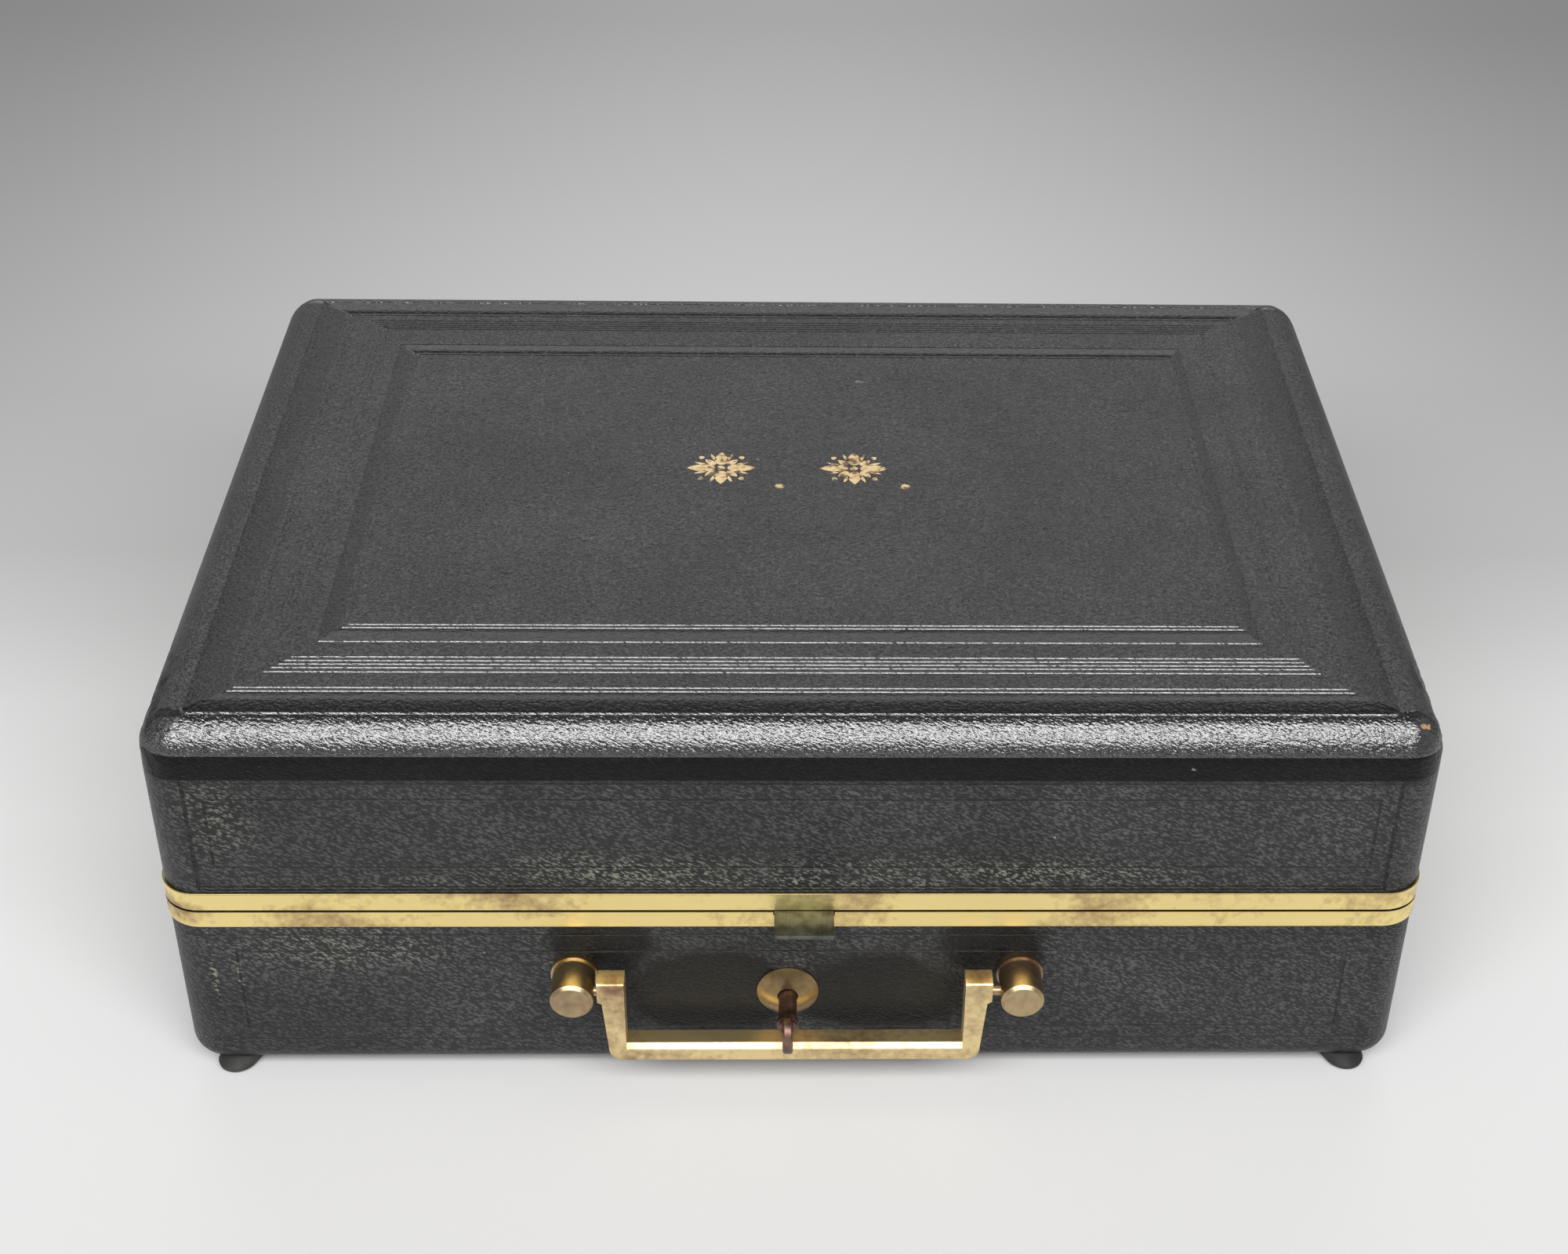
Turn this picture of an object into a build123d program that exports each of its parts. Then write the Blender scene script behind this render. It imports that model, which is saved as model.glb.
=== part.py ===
from build123d import *
import os

os.makedirs("parts", exist_ok=True)

# A fitted dressing box: a wooden case covered in leather, with a deep lid, brass rims, a lock,
# a bail handle and a tray of fittings.
# Millimetres: +X to the right, +Y to the back, +Z up. The model is built about the middle of
# the case, and each piece is moved back by case_y as it is saved, so that the origin lies on
# the ground under the middle of the whole box, key and hinges included.

# Case, over the leather
case_width = 360.0
case_depth = 262.0
body_height = 61.0           # underside of the leather to the seam
lid_height = 64.8            # seam to the top of the leather
corner_radius = 11.0
top_radius = 13.5
bottom_radius = 7.0
leather = 1.3
side_wall = 9.0              # wooden end and back walls
front_wall = 12.0            # thick enough to hold the lock
floor_board = 7.0
top_board = 8.0
inner_radius = 4.0
lining = 1.2

# Feet
foot_height = 4.5
foot_radius = 6.0
foot_tip_radius = 5.0
foot_rounding = 1.6
foot_from_side = 14.7
foot_from_front = 9.5
foot_nail_radius = 0.8
foot_nail_head_radius = 2.4
foot_nail_head = 0.8
foot_nail_recess = 1.2
foot_nail_length = 10.0

# Brass rims: a band outside, a flange over the wall's edge, and a dust lip on the body's one
lid_band = 6.4
body_band = 6.0
band_proud = 0.6
band_rounding = 0.3
flange = 1.2
seam_gap = 0.35
lip = 1.0
lip_height = 2.3
lip_clearance = 0.3

# Hinges
hinge_from_side = 70.0       # middle of a hinge from the case's end
hinge_length = 42.0
knuckle_count = 5
knuckle_radius = 2.6
knuckle_gap = 0.3
leaf_margin = 0.8            # brass left between a leaf and the lid flange's inner edge
leaf_fit = 0.1
hinge_pin_radius = 1.1
running_fit = 0.05           # radial, of every pin that turns in its hole
hinge_screw_pitch = 14.0
hinge_screw_count = 3

# Countersunk screws
screw_radius = 1.1
screw_head_radius = 2.1
screw_head = 1.0
screw_length = 9.0
screw_slot = 0.5

# Lock and key
lock_x = -2.2
key_above_base = 29.9        # key's axis over the underside of the leather
key_radius = 2.65
key_fit = 0.35
key_reach = 23.7             # end of the bow in front of the leather
bow_length = 9.0
bow_height = 11.2
bow_bar = 1.9
bow_thickness = 3.0
bow_rounding = 0.9
key_collar = 1.4
key_collar_radius = 3.1
key_bore_radius = 1.4
key_bore_depth = 10.0
bit_reach = 6.8
bit_thickness = 1.6
bit_width = 4.8
bit_slot = 1.0
escutcheon_radius = 9.0
escutcheon_rise = 2.6
escutcheon_rim = 0.5
escutcheon_spike_radius = 0.7
escutcheon_spike_length = 3.3
escutcheon_spike_spacing = 13.0

lock_width = 36.0
lock_depth = 8.5
lock_wall = 1.0
lock_cover = 1.0
lock_cover_ear = 5.5
lock_fit = 0.2
lock_screw_height = 12.0     # of each pair of screws from the lock's ends
drill_pin_radius = 1.1
drill_pin_length = 9.4

bolt_travel = 6.0
bolt_thickness = 2.6
bolt_margin = 2.5
bolt_head = 2.8
bolt_left = 15.6             # edges of the bolt, from the key's axis
bolt_right = 5.2
bolt_nose = 5.9
bolt_riser_left = 7.0
bolt_riser_right = 1.5
bolt_above_key = 11.5
bolt_slide_gap = 0.1
talon_left = 2.4
talon_right = 2.75
talon_gap = 0.4
window_half_height = 3.0
window_right = 3.2
stud_x = -6.0                # guide stud, from the key's axis
stud_z = 7.5
stud_radius = 1.2
stud_shoulder_radius = 3.2
stud_end_gap = 1.2
rib_height = 1.6

# Hasp: tongue, plate and staple in one piece under the lid
tongue_x = 2.4
tongue_width = 17.0
tongue_reach = 11.3
tongue_rounding = 0.6
hasp_thickness = 1.4
hasp_width = 32.0
hasp_edge = 0.8              # plate's edges in from the lid's front wall
hasp_fit = 0.3
hasp_screw_spacing = 23.0
staple_offset = 8.0          # from the key's axis
staple_thickness = 3.0
staple_depth = 5.6
staple_gap = 1.0
eye_drop = 5.2               # plate's underside to the middle of the eye
eye_clearance = 0.4
eye_wall = 2.2

# Handle
handle_above_base = 37.9     # pivots over the underside of the leather
post_left_x = -64.0
post_right_x = 65.3
post_radius = 6.2
post_length = 14.2
post_bevel = 0.9
post_collar_radius = 6.8
post_collar = 2.2
stud_bolt_radius = 2.4
washer_radius = 5.0
washer = 1.0
nut_across_flats = 8.0
nut = 3.0
nut_recess_radius = 6.2
nut_cover = 0.4              # from the nut to the wall's inner face
bail_x = -0.1
bail_width = 113.5
bail_depth = 6.6
bail_drop = 24.4             # pivots to the underside of the grip
grip_height = 5.6
grip_bevel = 1.4
block_width = 7.8
block_above = 5.2
block_below = 1.7
block_step = 1.3
arm_taper = 1.8
bail_corner_radius = 4.0
bail_edge = 0.35
pivot_out = 8.7              # pivots in front of the leather
pivot_radius = 1.5
pivot_depth = 5.5            # in each end of the bail
pivot_end_gap = 0.3

# Mirror in the lid
mirror_from_side = 66.0      # glass's edges in from the case's outline
mirror_from_front = 57.0
mirror_glass = 2.8
mirror_frame_width = 14.0
mirror_frame_height = 5.0
mirror_rebate = 3.0
mirror_fit = 0.3
mirror_moulding = 2.0

# Tray
tray_clearance = 0.5
tray_height = 44.0
tray_floor = 2.5
well_fit = 0.5
well_corner = 1.5

# Square scent bottles
bottle_width = 45.0
bottle_height = 56.0
bottle_corner = 4.0
bottle_shoulder = 5.0
glass_wall = 3.0
bottle_base = 5.0
neck_radius = 10.0
neck_height = 9.0
neck_wall = 2.5
stopper_plug = 7.0
stopper_taper = 0.6
stopper_knob_radius = 6.5
stopper_knob_height = 6.0
cap_wall = 0.8
cap_height = 20.0
cap_fit = 0.4
cap_rounding = 2.5
bottle_count = 4

# Round powder jars
jar_radius = 22.5
jar_height = 52.0
jar_rounding = 3.0
jar_lid_height = 11.0
jar_lid_rounding = 3.0
jar_lid_wall = 1.0
jar_lid_rebate = 5.0

# Long toothbrush box and soap box
long_box_length = 176.0
soap_box_length = 88.0
box_glass_height = 30.0
long_box_width = 38.0
soap_box_width = 64.0
box_lid_height = 7.0
box_corner = 4.0
box_lid_rounding = 2.0
box_lid_tongue = 2.0
box_lid_fit = 0.3

# Hair brushes
brush_length = 104.0
brush_width = 64.0
brush_back = 12.0
brush_back_rounding = 5.0
bristle_height = 20.0
bristle_inset = 6.0
bristle_taper = 4.0
brush_end_radius = 28.0

# Comb
comb_length = 168.0
comb_width = 32.0
comb_thickness = 3.4
comb_spine = 11.0
comb_end = 6.0
comb_tooth = 2.4
comb_tooth_gap = 1.6

# Manicure tools
tool_count = 3
tool_length = 118.0
tool_handle_length = 62.0
tool_handle_radius = 3.6
tool_handle_rounding = 1.5
tool_steel_width = 5.0
tool_steel_thickness = 1.4
tool_tang = 6.0
tool_pitch = 11.0
shallow_well = 12.0
sundries_length = 104.0
sundries_depth = 36.0

# Levels
leather_bottom = foot_height
seam_z = leather_bottom + body_height
lid_top = seam_z + lid_height
body_rim_top = seam_z - seam_gap / 2
lid_rim_bottom = seam_z + seam_gap / 2
body_band_bottom = seam_z - body_band
lid_band_top = seam_z + lid_band
body_wood_top = body_rim_top - flange
lid_wood_bottom = lid_rim_bottom + flange
floor_top = leather_bottom + leather + floor_board
lid_ceiling = lid_top - leather - top_board
lid_lining_bottom = body_rim_top + lip_height + 2 * lip_clearance
lid_lining_ceiling = lid_ceiling - lining
key_z = leather_bottom + key_above_base
handle_z = leather_bottom + handle_above_base
tray_bottom = floor_top + lining
tray_top = tray_bottom + tray_height
well_floor = tray_bottom + tray_floor

# Plan
half_width = case_width / 2
half_depth = case_depth / 2
inner_width = case_width - 2 * (leather + side_wall)
inner_front = -half_depth + leather + front_wall
inner_back = half_depth - leather - side_wall
inner_depth = inner_back - inner_front
inner_y = (inner_front + inner_back) / 2
lid_set_back = lip + lip_clearance
hinge_y = half_depth + band_proud + knuckle_gap + knuckle_radius
leaf_front = inner_back + lid_set_back + leaf_margin
pivot_y = -half_depth - pivot_out

front_reach = half_depth + max(key_reach, post_length, pivot_out + bail_depth / 2)
back_reach = hinge_y + knuckle_radius
case_y = (front_reach - back_reach) / 2

# Lock's inner places
cover_front = inner_front - lock_cover
lock_front = cover_front - lock_depth
hasp_bottom = lid_rim_bottom - hasp_thickness
lock_top = hasp_bottom - hasp_fit
staple_front = lock_front + lock_wall + staple_gap
bolt_y = staple_front + staple_depth / 2
bolt_front = bolt_y - bolt_thickness / 2
bolt_bottom = key_z - bit_reach - talon_gap - bolt_margin
lock_bottom = bolt_bottom - bolt_slide_gap - lock_wall
eye_z = hasp_bottom - eye_drop
bit_back = bolt_y + bit_width / 2 - talon_gap
staple_x = lock_x + staple_offset


def save(name, *solids):
    """Write one sub-part, moved so that the origin is under the middle of the whole box."""
    moved = [Pos(0, case_y, 0) * solid for solid in solids]
    export_step(Compound(moved) if len(moved) > 1 else moved[0], f"parts/{name}.step")


def block(x, y, z):
    """A box between low and high values along each axis."""
    box = Box(x[1] - x[0], y[1] - y[0], z[1] - z[0])
    return Pos((x[0] + x[1]) / 2, (y[0] + y[1]) / 2, (z[0] + z[1]) / 2) * box


def turned(shape, start, direction):
    """A shape that was made along +Z, moved to a start point and turned to a direction."""
    turns = {"+X": (0, 90, 0), "-X": (0, -90, 0), "+Y": (-90, 0, 0), "-Y": (90, 0, 0)}
    turns.update({"+Z": (0, 0, 0), "-Z": (180, 0, 0)})
    return Pos(*start) * Rot(*turns[direction]) * shape


def rod(radius, start, length, direction="+Z"):
    """A round rod from a start point along a direction."""
    bar = Cylinder(radius, length, align=(Align.CENTER, Align.CENTER, Align.MIN))
    return turned(bar, start, direction)


def screw_body(start, direction, length):
    """A countersunk screw without its slot, its head's face at the start point."""
    head = Cone(screw_head_radius, screw_radius, screw_head,
                align=(Align.CENTER, Align.CENTER, Align.MIN))
    return turned(head, start, direction) + rod(screw_radius, start, length, direction)


def slotted(screw, start, direction):
    """The screw with a slot across its head."""
    cutter = Box(3 * screw_head_radius, screw_slot, screw_head)
    return screw - turned(cutter, start, direction)


def spread(sizes, low, high):
    """Centres of pieces laid between two ends with equal gaps."""
    gap = (high - low - sum(sizes)) / (len(sizes) + 1)
    centres = []
    place = low
    for size in sizes:
        centres.append(place + gap + size / 2)
        place += gap + size
    return centres


# ---- Case ----

def slab(inset, bottom, top):
    """The case's outline, drawn in by an inset, between two levels."""
    plan = RectangleRounded(case_width - 2 * inset, case_depth - 2 * inset, corner_radius - inset)
    return Pos(0, 0, bottom) * extrude(plan, top - bottom)


def lid_form(inset, bottom):
    """The lid's outside, drawn in by an inset, with its rounded top edge."""
    form = slab(inset, bottom, lid_top - inset)
    return fillet(form.edges().group_by(Axis.Z)[-1], top_radius - inset)


def body_form(inset, top):
    """The body's outside, drawn in by an inset, with its rounded bottom edge."""
    form = slab(inset, leather_bottom + inset, top)
    return fillet(form.edges().group_by(Axis.Z)[0], bottom_radius - inset)


def inside(grow, bottom, top):
    """The space within the body's walls, grown outwards by a distance, between two levels."""
    plan = RectangleRounded(inner_width + 2 * grow, inner_depth + 2 * grow, inner_radius + grow)
    return Pos(0, inner_y, bottom) * extrude(plan, top - bottom)


def keyhole(clearance, front, back):
    """The key's barrel and bit with a clearance all round, through a wall."""
    hole = rod(key_radius + clearance, (lock_x, front, key_z), back - front, "+Y")
    half = bit_thickness / 2 + clearance
    slot = block((lock_x - half, lock_x + half), (front, back),
                 (key_z - bit_reach - clearance, key_z))
    return hole + slot


def post_places():
    """The two handle posts, each with the way to the bail: +1 to the right, -1 to the left."""
    return [(post_left_x, 1), (post_right_x, -1)]


def stud_holes(back):
    """The holes for the posts' studs, from the leather back through the front wall."""
    start = -half_depth
    holes = [rod(stud_bolt_radius, (x, start, handle_z), back - start, "+Y") for x, _ in post_places()]
    return holes[0] + holes[1]


def foot_places():
    """Middles of the four feet."""
    x = half_width - foot_from_side
    y = half_depth - foot_from_front
    return [(-x, -y), (x, -y), (-x, y), (x, y)]


def foot_nails():
    """Round-headed nails up through the feet into the floor board."""
    nails = []
    for x, y in foot_places():
        head = rod(foot_nail_head_radius, (x, y, foot_nail_recess), foot_nail_head)
        nails.append(head + rod(foot_nail_radius, (x, y, foot_nail_recess), foot_nail_length))
    return nails


def feet(nails):
    """Small domed feet, each bored for its nail."""
    made = []
    for (x, y), nail in zip(foot_places(), nails):
        foot = Cone(foot_tip_radius, foot_radius, foot_height,
                    align=(Align.CENTER, Align.CENTER, Align.MIN))
        foot = fillet(foot.edges().group_by(Axis.Z)[0], foot_rounding)
        well = rod(foot_nail_head_radius, (x, y, 0), foot_nail_recess)
        made.append(Pos(x, y, 0) * foot - well - nail)
    return made


def escutcheon_spikes():
    """Two spikes cast on the escutcheon's back."""
    spikes = []
    for side in (-1, 1):
        x = lock_x + side * escutcheon_spike_spacing / 2
        spikes.append(rod(escutcheon_spike_radius, (x, -half_depth - escutcheon_rim, key_z),
                          escutcheon_rim + escutcheon_spike_length, "+Y"))
    return spikes[0] + spikes[1]


def body_leather(nails):
    """Leather over the body's walls and underside, up to the brass band."""
    skin = body_form(0, body_band_bottom) - body_form(leather, body_wood_top)
    skin -= stud_holes(inner_front)
    skin -= escutcheon_spikes()
    skin -= keyhole(key_fit, -half_depth - leather, -half_depth + leather)
    for nail in nails:
        skin -= nail
    return skin


def lock_mortise():
    """The room cut in the front wall for the lock case, its cover and the cover's ears."""
    half = lock_width / 2 + lock_fit
    case = block((lock_x - half, lock_x + half), (lock_front, inner_front),
                 (lock_bottom - lock_fit, body_wood_top))
    ear = half + lock_cover_ear
    cover = block((lock_x - ear, lock_x + ear), (cover_front, inner_front),
                  (lock_bottom - lock_fit, body_wood_top))
    return case + cover


def hasp_pocket():
    """The recess for the hasp plate in the top of the body's front wall and rim."""
    half = hasp_width / 2 + hasp_fit
    plate = block((tongue_x - half, tongue_x + half),
                  (-half_depth + leather + hasp_edge - hasp_fit, inner_front - lid_set_back + hasp_fit),
                  (lock_top, body_rim_top))
    slot_half = tongue_width / 2 + hasp_fit
    slot = block((tongue_x - slot_half, tongue_x + slot_half),
                 (-half_depth - 2 * band_proud, -half_depth + leather + hasp_edge),
                 (lock_top, body_rim_top))
    return plate + slot


def nut_recesses():
    """Round recesses in the front wall's inner face for the washers and nuts."""
    depth = nut_cover + nut + washer
    cuts = [rod(nut_recess_radius, (x, inner_front, handle_z), depth, "-Y") for x, _ in post_places()]
    return cuts[0] + cuts[1]


def body_carcass(screws, nails):
    """The wooden body, cut for the lock, the posts, the hasp plate and every screw."""
    wood = body_form(leather, body_wood_top) - inside(0, floor_top, body_wood_top)
    wood -= lock_mortise()
    wood -= hasp_pocket()
    wood -= nut_recesses()
    wood -= stud_holes(inner_front)
    wood -= escutcheon_spikes()
    wood -= keyhole(key_fit, -half_depth, lock_front)
    for piece in screws + nails:
        wood -= piece
    return wood


def soft_slab(inset, bottom, top):
    """A slab of the case's outline with its long outer edges eased."""
    form = slab(inset, bottom, top)
    groups = form.edges().group_by(Axis.Z)
    return fillet(groups[0] + groups[-1], band_rounding)


def leaf_notches(bottom, top):
    """The cuts that let the hinge leaves into a rim."""
    half = hinge_length / 2 + leaf_fit
    cuts = [block((x - half, x + half), (leaf_front - leaf_fit, hinge_y), (bottom, top))
            for x in hinge_places()]
    return cuts[0] + cuts[1]


def body_frame():
    """The body's brass rim: outer band, flange over the wood, and dust lip."""
    band = soft_slab(-band_proud, body_band_bottom, body_rim_top)
    band -= slab(leather, body_band_bottom, body_rim_top)
    cover = slab(leather, body_wood_top, body_rim_top) - inside(0, body_wood_top, body_rim_top)
    dust_lip = inside(lip, body_wood_top, body_rim_top + lip_height)
    dust_lip -= inside(0, body_wood_top, body_rim_top + lip_height)
    frame = band + cover + dust_lip
    frame -= leaf_notches(body_wood_top, body_rim_top)
    return frame - hasp_pocket()


def lid_frame(screws):
    """The lid's brass rim: outer band and flange, clear of the body's dust lip."""
    band = soft_slab(-band_proud, lid_rim_bottom, lid_band_top)
    band -= slab(leather, lid_rim_bottom, lid_band_top)
    cover = slab(leather, lid_rim_bottom, lid_wood_bottom)
    cover -= inside(lid_set_back, lid_rim_bottom, lid_wood_bottom)
    frame = band + cover - leaf_notches(lid_rim_bottom, lid_wood_bottom)
    for screw in screws:
        frame -= screw
    return frame


def lid_leather():
    """Leather over the lid, down to the brass band."""
    return lid_form(0, lid_band_top) - lid_form(leather, lid_wood_bottom)


def lid_carcass(screws):
    """The wooden lid, open below."""
    wood = lid_form(leather, lid_wood_bottom) - inside(lid_set_back, lid_wood_bottom, lid_ceiling)
    for screw in screws:
        wood -= screw
    return wood


def body_lining():
    """Lining of the body's floor and walls."""
    return inside(0, floor_top, body_wood_top) - inside(-lining, tray_bottom, body_wood_top)


def lid_lining():
    """Lining of the lid's ceiling and walls, above the dust lip."""
    outer = inside(lid_set_back, lid_lining_bottom, lid_ceiling)
    return outer - inside(lid_set_back - lining, lid_lining_bottom, lid_lining_ceiling)


# ---- Hinges ----

def hinge_places():
    """Middles of the two hinges along X."""
    x = half_width - hinge_from_side
    return [-x, x]


def knuckle_spans(x):
    """The run of each knuckle along the pin."""
    pitch = (hinge_length + knuckle_gap) / knuckle_count
    start = x - hinge_length / 2
    return [(start + i * pitch, start + (i + 1) * pitch - knuckle_gap) for i in range(knuckle_count)]


def hinge_leaf(x, low, high, first, screws):
    """One leaf between two levels: plate, every second knuckle from the first, bore and holes."""
    half = hinge_length / 2
    leaf = block((x - half, x + half), (leaf_front, hinge_y), (low, high))
    bore = hinge_pin_radius + (running_fit if first else 0)
    spans = knuckle_spans(x)
    for i, (start, end) in enumerate(spans):
        if i % 2 == first:
            leaf += rod(knuckle_radius, (start, hinge_y, seam_z), end - start, "+X")
        else:
            room = rod(knuckle_radius + knuckle_gap, (start - knuckle_gap, hinge_y, seam_z),
                       end - start + 2 * knuckle_gap, "+X")
            leaf -= room
    leaf -= rod(bore, (x - half, hinge_y, seam_z), hinge_length, "+X")
    for screw in screws:
        leaf -= screw
    return leaf


def hinge_pin(x):
    """The pin, as long as the hinge."""
    return rod(hinge_pin_radius, (x - hinge_length / 2, hinge_y, seam_z), hinge_length, "+X")


def hinge_screw_starts(x, z):
    """Places of a leaf's screw heads at a level."""
    y = (leaf_front + half_depth) / 2
    middle = (hinge_screw_count - 1) / 2
    return [(x + (i - middle) * hinge_screw_pitch, y, z) for i in range(hinge_screw_count)]


# ---- Handle ----

def pivot_pin(x, side):
    """A plain pin from the middle of a post into the bail's end."""
    end = bail_x - side * (bail_width / 2 - pivot_depth)
    length = abs(end - x)
    return rod(pivot_radius, (x, pivot_y, handle_z), length, "+X" if side > 0 else "-X")


def handle_post(x, pin):
    """A turned post with a collar, a bevelled end and the threaded stud that holds it."""
    front = -half_depth - post_length
    barrel = Cylinder(post_radius, post_length, align=(Align.CENTER, Align.CENTER, Align.MIN))
    barrel = chamfer(barrel.edges().group_by(Axis.Z)[0], post_bevel)
    post = turned(barrel, (x, front, handle_z), "+Y")
    post += rod(post_collar_radius, (x, -half_depth - post_collar, handle_z), post_collar, "+Y")
    stud_end = inner_front - nut_cover
    post += rod(stud_bolt_radius, (x, -half_depth, handle_z), stud_end + half_depth, "+Y")
    return post - pin


def stud_washer(x):
    """A flat washer at the bottom of the recess."""
    seat = inner_front - nut_cover - nut - washer
    disc = rod(washer_radius, (x, seat, handle_z), washer, "+Y")
    return disc - rod(stud_bolt_radius, (x, seat, handle_z), washer, "+Y")


def stud_nut(x):
    """A hexagonal nut on the stud."""
    seat = inner_front - nut_cover - nut
    plan = RegularPolygon(nut_across_flats / 2, 6, major_radius=False)
    body = turned(extrude(plan, nut), (x, seat, handle_z), "+Y")
    return body - rod(stud_bolt_radius, (x, seat, handle_z), nut, "+Y")


def bail():
    """The bail: a block at each pivot, arms that narrow downwards, and the grip."""
    half = bail_width / 2
    inner = half - block_width
    top = handle_z + block_above
    shoulder = handle_z - block_below
    bottom = handle_z - bail_drop
    arm_out = half - block_step
    right = [(half, top), (half, shoulder), (arm_out, shoulder - block_step / 2),
             (arm_out - arm_taper, bottom)]
    left = [(-x, z) for x, z in reversed(right)]
    hollow = [(-inner, top), (-inner, bottom + grip_height), (inner, bottom + grip_height), (inner, top)]
    outline = make_face(Polyline(*right, *left, *hollow, close=True))
    bar = extrude(Plane.XZ * outline, bail_depth / 2, both=True)
    corners = bar.edges().filter_by(Axis.Y).group_by(Axis.Z)[0]
    bar = fillet(corners, bail_corner_radius)
    across = bar.edges().filter_by(Axis.X).filter_by(lambda edge: edge.length > bail_width / 2)
    bar = chamfer(across.group_by(Axis.Z)[-1].sort_by(Axis.Y)[0], grip_bevel)
    ends = bar.edges().filter_by(Axis.X).group_by(Axis.Z)[-1]
    bar = chamfer(ends, bail_edge)
    bar = Pos(bail_x, pivot_y, 0) * bar
    for _, side in post_places():
        start = bail_x - side * half
        bar -= rod(pivot_radius + running_fit, (start, pivot_y, handle_z), pivot_depth + pivot_end_gap,
                   "+X" if side > 0 else "-X")
    return bar


# ---- Lock ----

def escutcheon():
    """A domed brass boss with the keyhole through it."""
    ball_radius = (escutcheon_radius ** 2 + escutcheon_rise ** 2) / (2 * escutcheon_rise)
    front = -half_depth - escutcheon_rim - escutcheon_rise
    ball = Pos(lock_x, front + ball_radius, key_z) * Sphere(ball_radius)
    dome = ball & rod(escutcheon_radius, (lock_x, front, key_z), escutcheon_rise, "+Y")
    dome += rod(escutcheon_radius, (lock_x, -half_depth - escutcheon_rim, key_z), escutcheon_rim, "+Y")
    dome += escutcheon_spikes()
    return dome - keyhole(key_fit, front, -half_depth)


def key():
    """A barrel key: oval bow edge on, collar, bored barrel, and a bit that points down."""
    barrel_back = bit_back
    bow_y = -half_depth - key_reach + bow_length / 2
    bow_back = bow_y + bow_length / 2
    barrel_front = bow_back - bow_bar / 2
    barrel = rod(key_radius, (lock_x, barrel_front, key_z), barrel_back - barrel_front, "+Y")
    barrel += rod(key_collar_radius, (lock_x, bow_back, key_z), key_collar, "+Y")
    outer = Ellipse(bow_length / 2, bow_height / 2)
    inner = Ellipse(bow_length / 2 - bow_bar, bow_height / 2 - bow_bar)
    ring = extrude(Plane.YZ * (outer - inner), bow_thickness / 2, both=True)
    ring = fillet(ring.edges().filter_by(GeomType.ELLIPSE), bow_rounding)
    half = bit_thickness / 2
    bit = block((lock_x - half, lock_x + half), (barrel_back - bit_width, barrel_back),
                (key_z - bit_reach, key_z))
    notch_top = key_z - (key_radius + bit_reach) / 2
    notch = block((lock_x - half, lock_x + half),
                  (barrel_back - bit_width / 2 - bit_slot / 2, barrel_back - bit_width / 2 + bit_slot / 2),
                  (key_z - bit_reach, notch_top))
    bore = rod(key_bore_radius, (lock_x, barrel_back, key_z), key_bore_depth, "-Y")
    return barrel + Pos(lock_x, bow_y, key_z) * ring + (bit - notch) - bore


def lock_case():
    """The lock's tray: front, ends, floor and top, with the guide stud and rib for the bolt."""
    half = lock_width / 2
    x = (lock_x - half, lock_x + half)
    shell = block(x, (lock_front, cover_front), (lock_bottom, lock_top))
    room = block((x[0] + lock_wall, x[1] - lock_wall), (lock_front + lock_wall, cover_front),
                 (lock_bottom + lock_wall, lock_top - lock_wall))
    shell -= room
    rest = bolt_front - bolt_slide_gap
    inner_face = lock_front + lock_wall
    place = (lock_x + stud_x, inner_face, key_z + stud_z)
    shell += rod(stud_shoulder_radius, place, rest - inner_face, "+Y")
    shell += rod(stud_radius, place, cover_front - stud_end_gap - inner_face, "+Y")
    shell += block((lock_x - bolt_left, lock_x + bolt_right + bolt_travel), (inner_face, rest),
                   (lock_bottom + lock_wall, bolt_bottom + rib_height))
    shell -= keyhole(key_fit, lock_front, inner_face)
    half_slot = staple_thickness / 2 + hasp_fit
    shell -= block((staple_x - half_slot, staple_x + half_slot),
                   (staple_front - staple_gap, staple_front + staple_depth + staple_gap),
                   (lock_top - lock_wall, lock_top))
    return shell


def lock_screw_starts():
    """Heads of the four screws that hold the lock's cover to the wall."""
    x = (lock_width + lock_cover_ear) / 2 + lock_fit
    low = lock_bottom + lock_screw_height
    high = lock_top - lock_screw_height
    return [(lock_x + side * x, inner_front, z) for side in (-1, 1) for z in (low, high)]


def lock_cover_plate(screws):
    """The cover over the lock, with the drill pin that the key's barrel fits."""
    half = lock_width / 2 + lock_cover_ear
    plate = block((lock_x - half, lock_x + half), (cover_front, inner_front), (lock_bottom, lock_top))
    plate += rod(drill_pin_radius, (lock_x, cover_front, key_z), drill_pin_length, "-Y")
    for screw in screws:
        plate -= screw
    return plate


def bolt():
    """The sliding bolt: plate with the key's window, riser, and the nose for the staple."""
    y = (bolt_front, bolt_front + bolt_thickness)
    body = block((lock_x - bolt_left, lock_x + bolt_right), y, (bolt_bottom, key_z + bolt_above_key))
    head_top = eye_z + bolt_head / 2
    body += block((lock_x - bolt_riser_left, lock_x - bolt_riser_right), y, (bolt_bottom, head_top))
    body += block((lock_x - bolt_riser_left, lock_x + bolt_nose), y, (head_top - bolt_head, head_top))
    window_left = key_radius + key_fit + bolt_travel
    body -= block((lock_x - window_left, lock_x + window_right), y,
                  (key_z - window_half_height, key_z + window_half_height))
    body -= block((lock_x - talon_left, lock_x + talon_right), y,
                  (key_z - bit_reach - talon_gap, key_z))
    stud_hole = stud_radius + key_fit
    middle = lock_x + stud_x
    slot = block((middle - bolt_travel, middle), y,
                 (key_z + stud_z - stud_hole, key_z + stud_z + stud_hole))
    for x in (middle - bolt_travel, middle):
        slot += rod(stud_hole, (x, bolt_front, key_z + stud_z), bolt_thickness, "+Y")
    return body - slot


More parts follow.
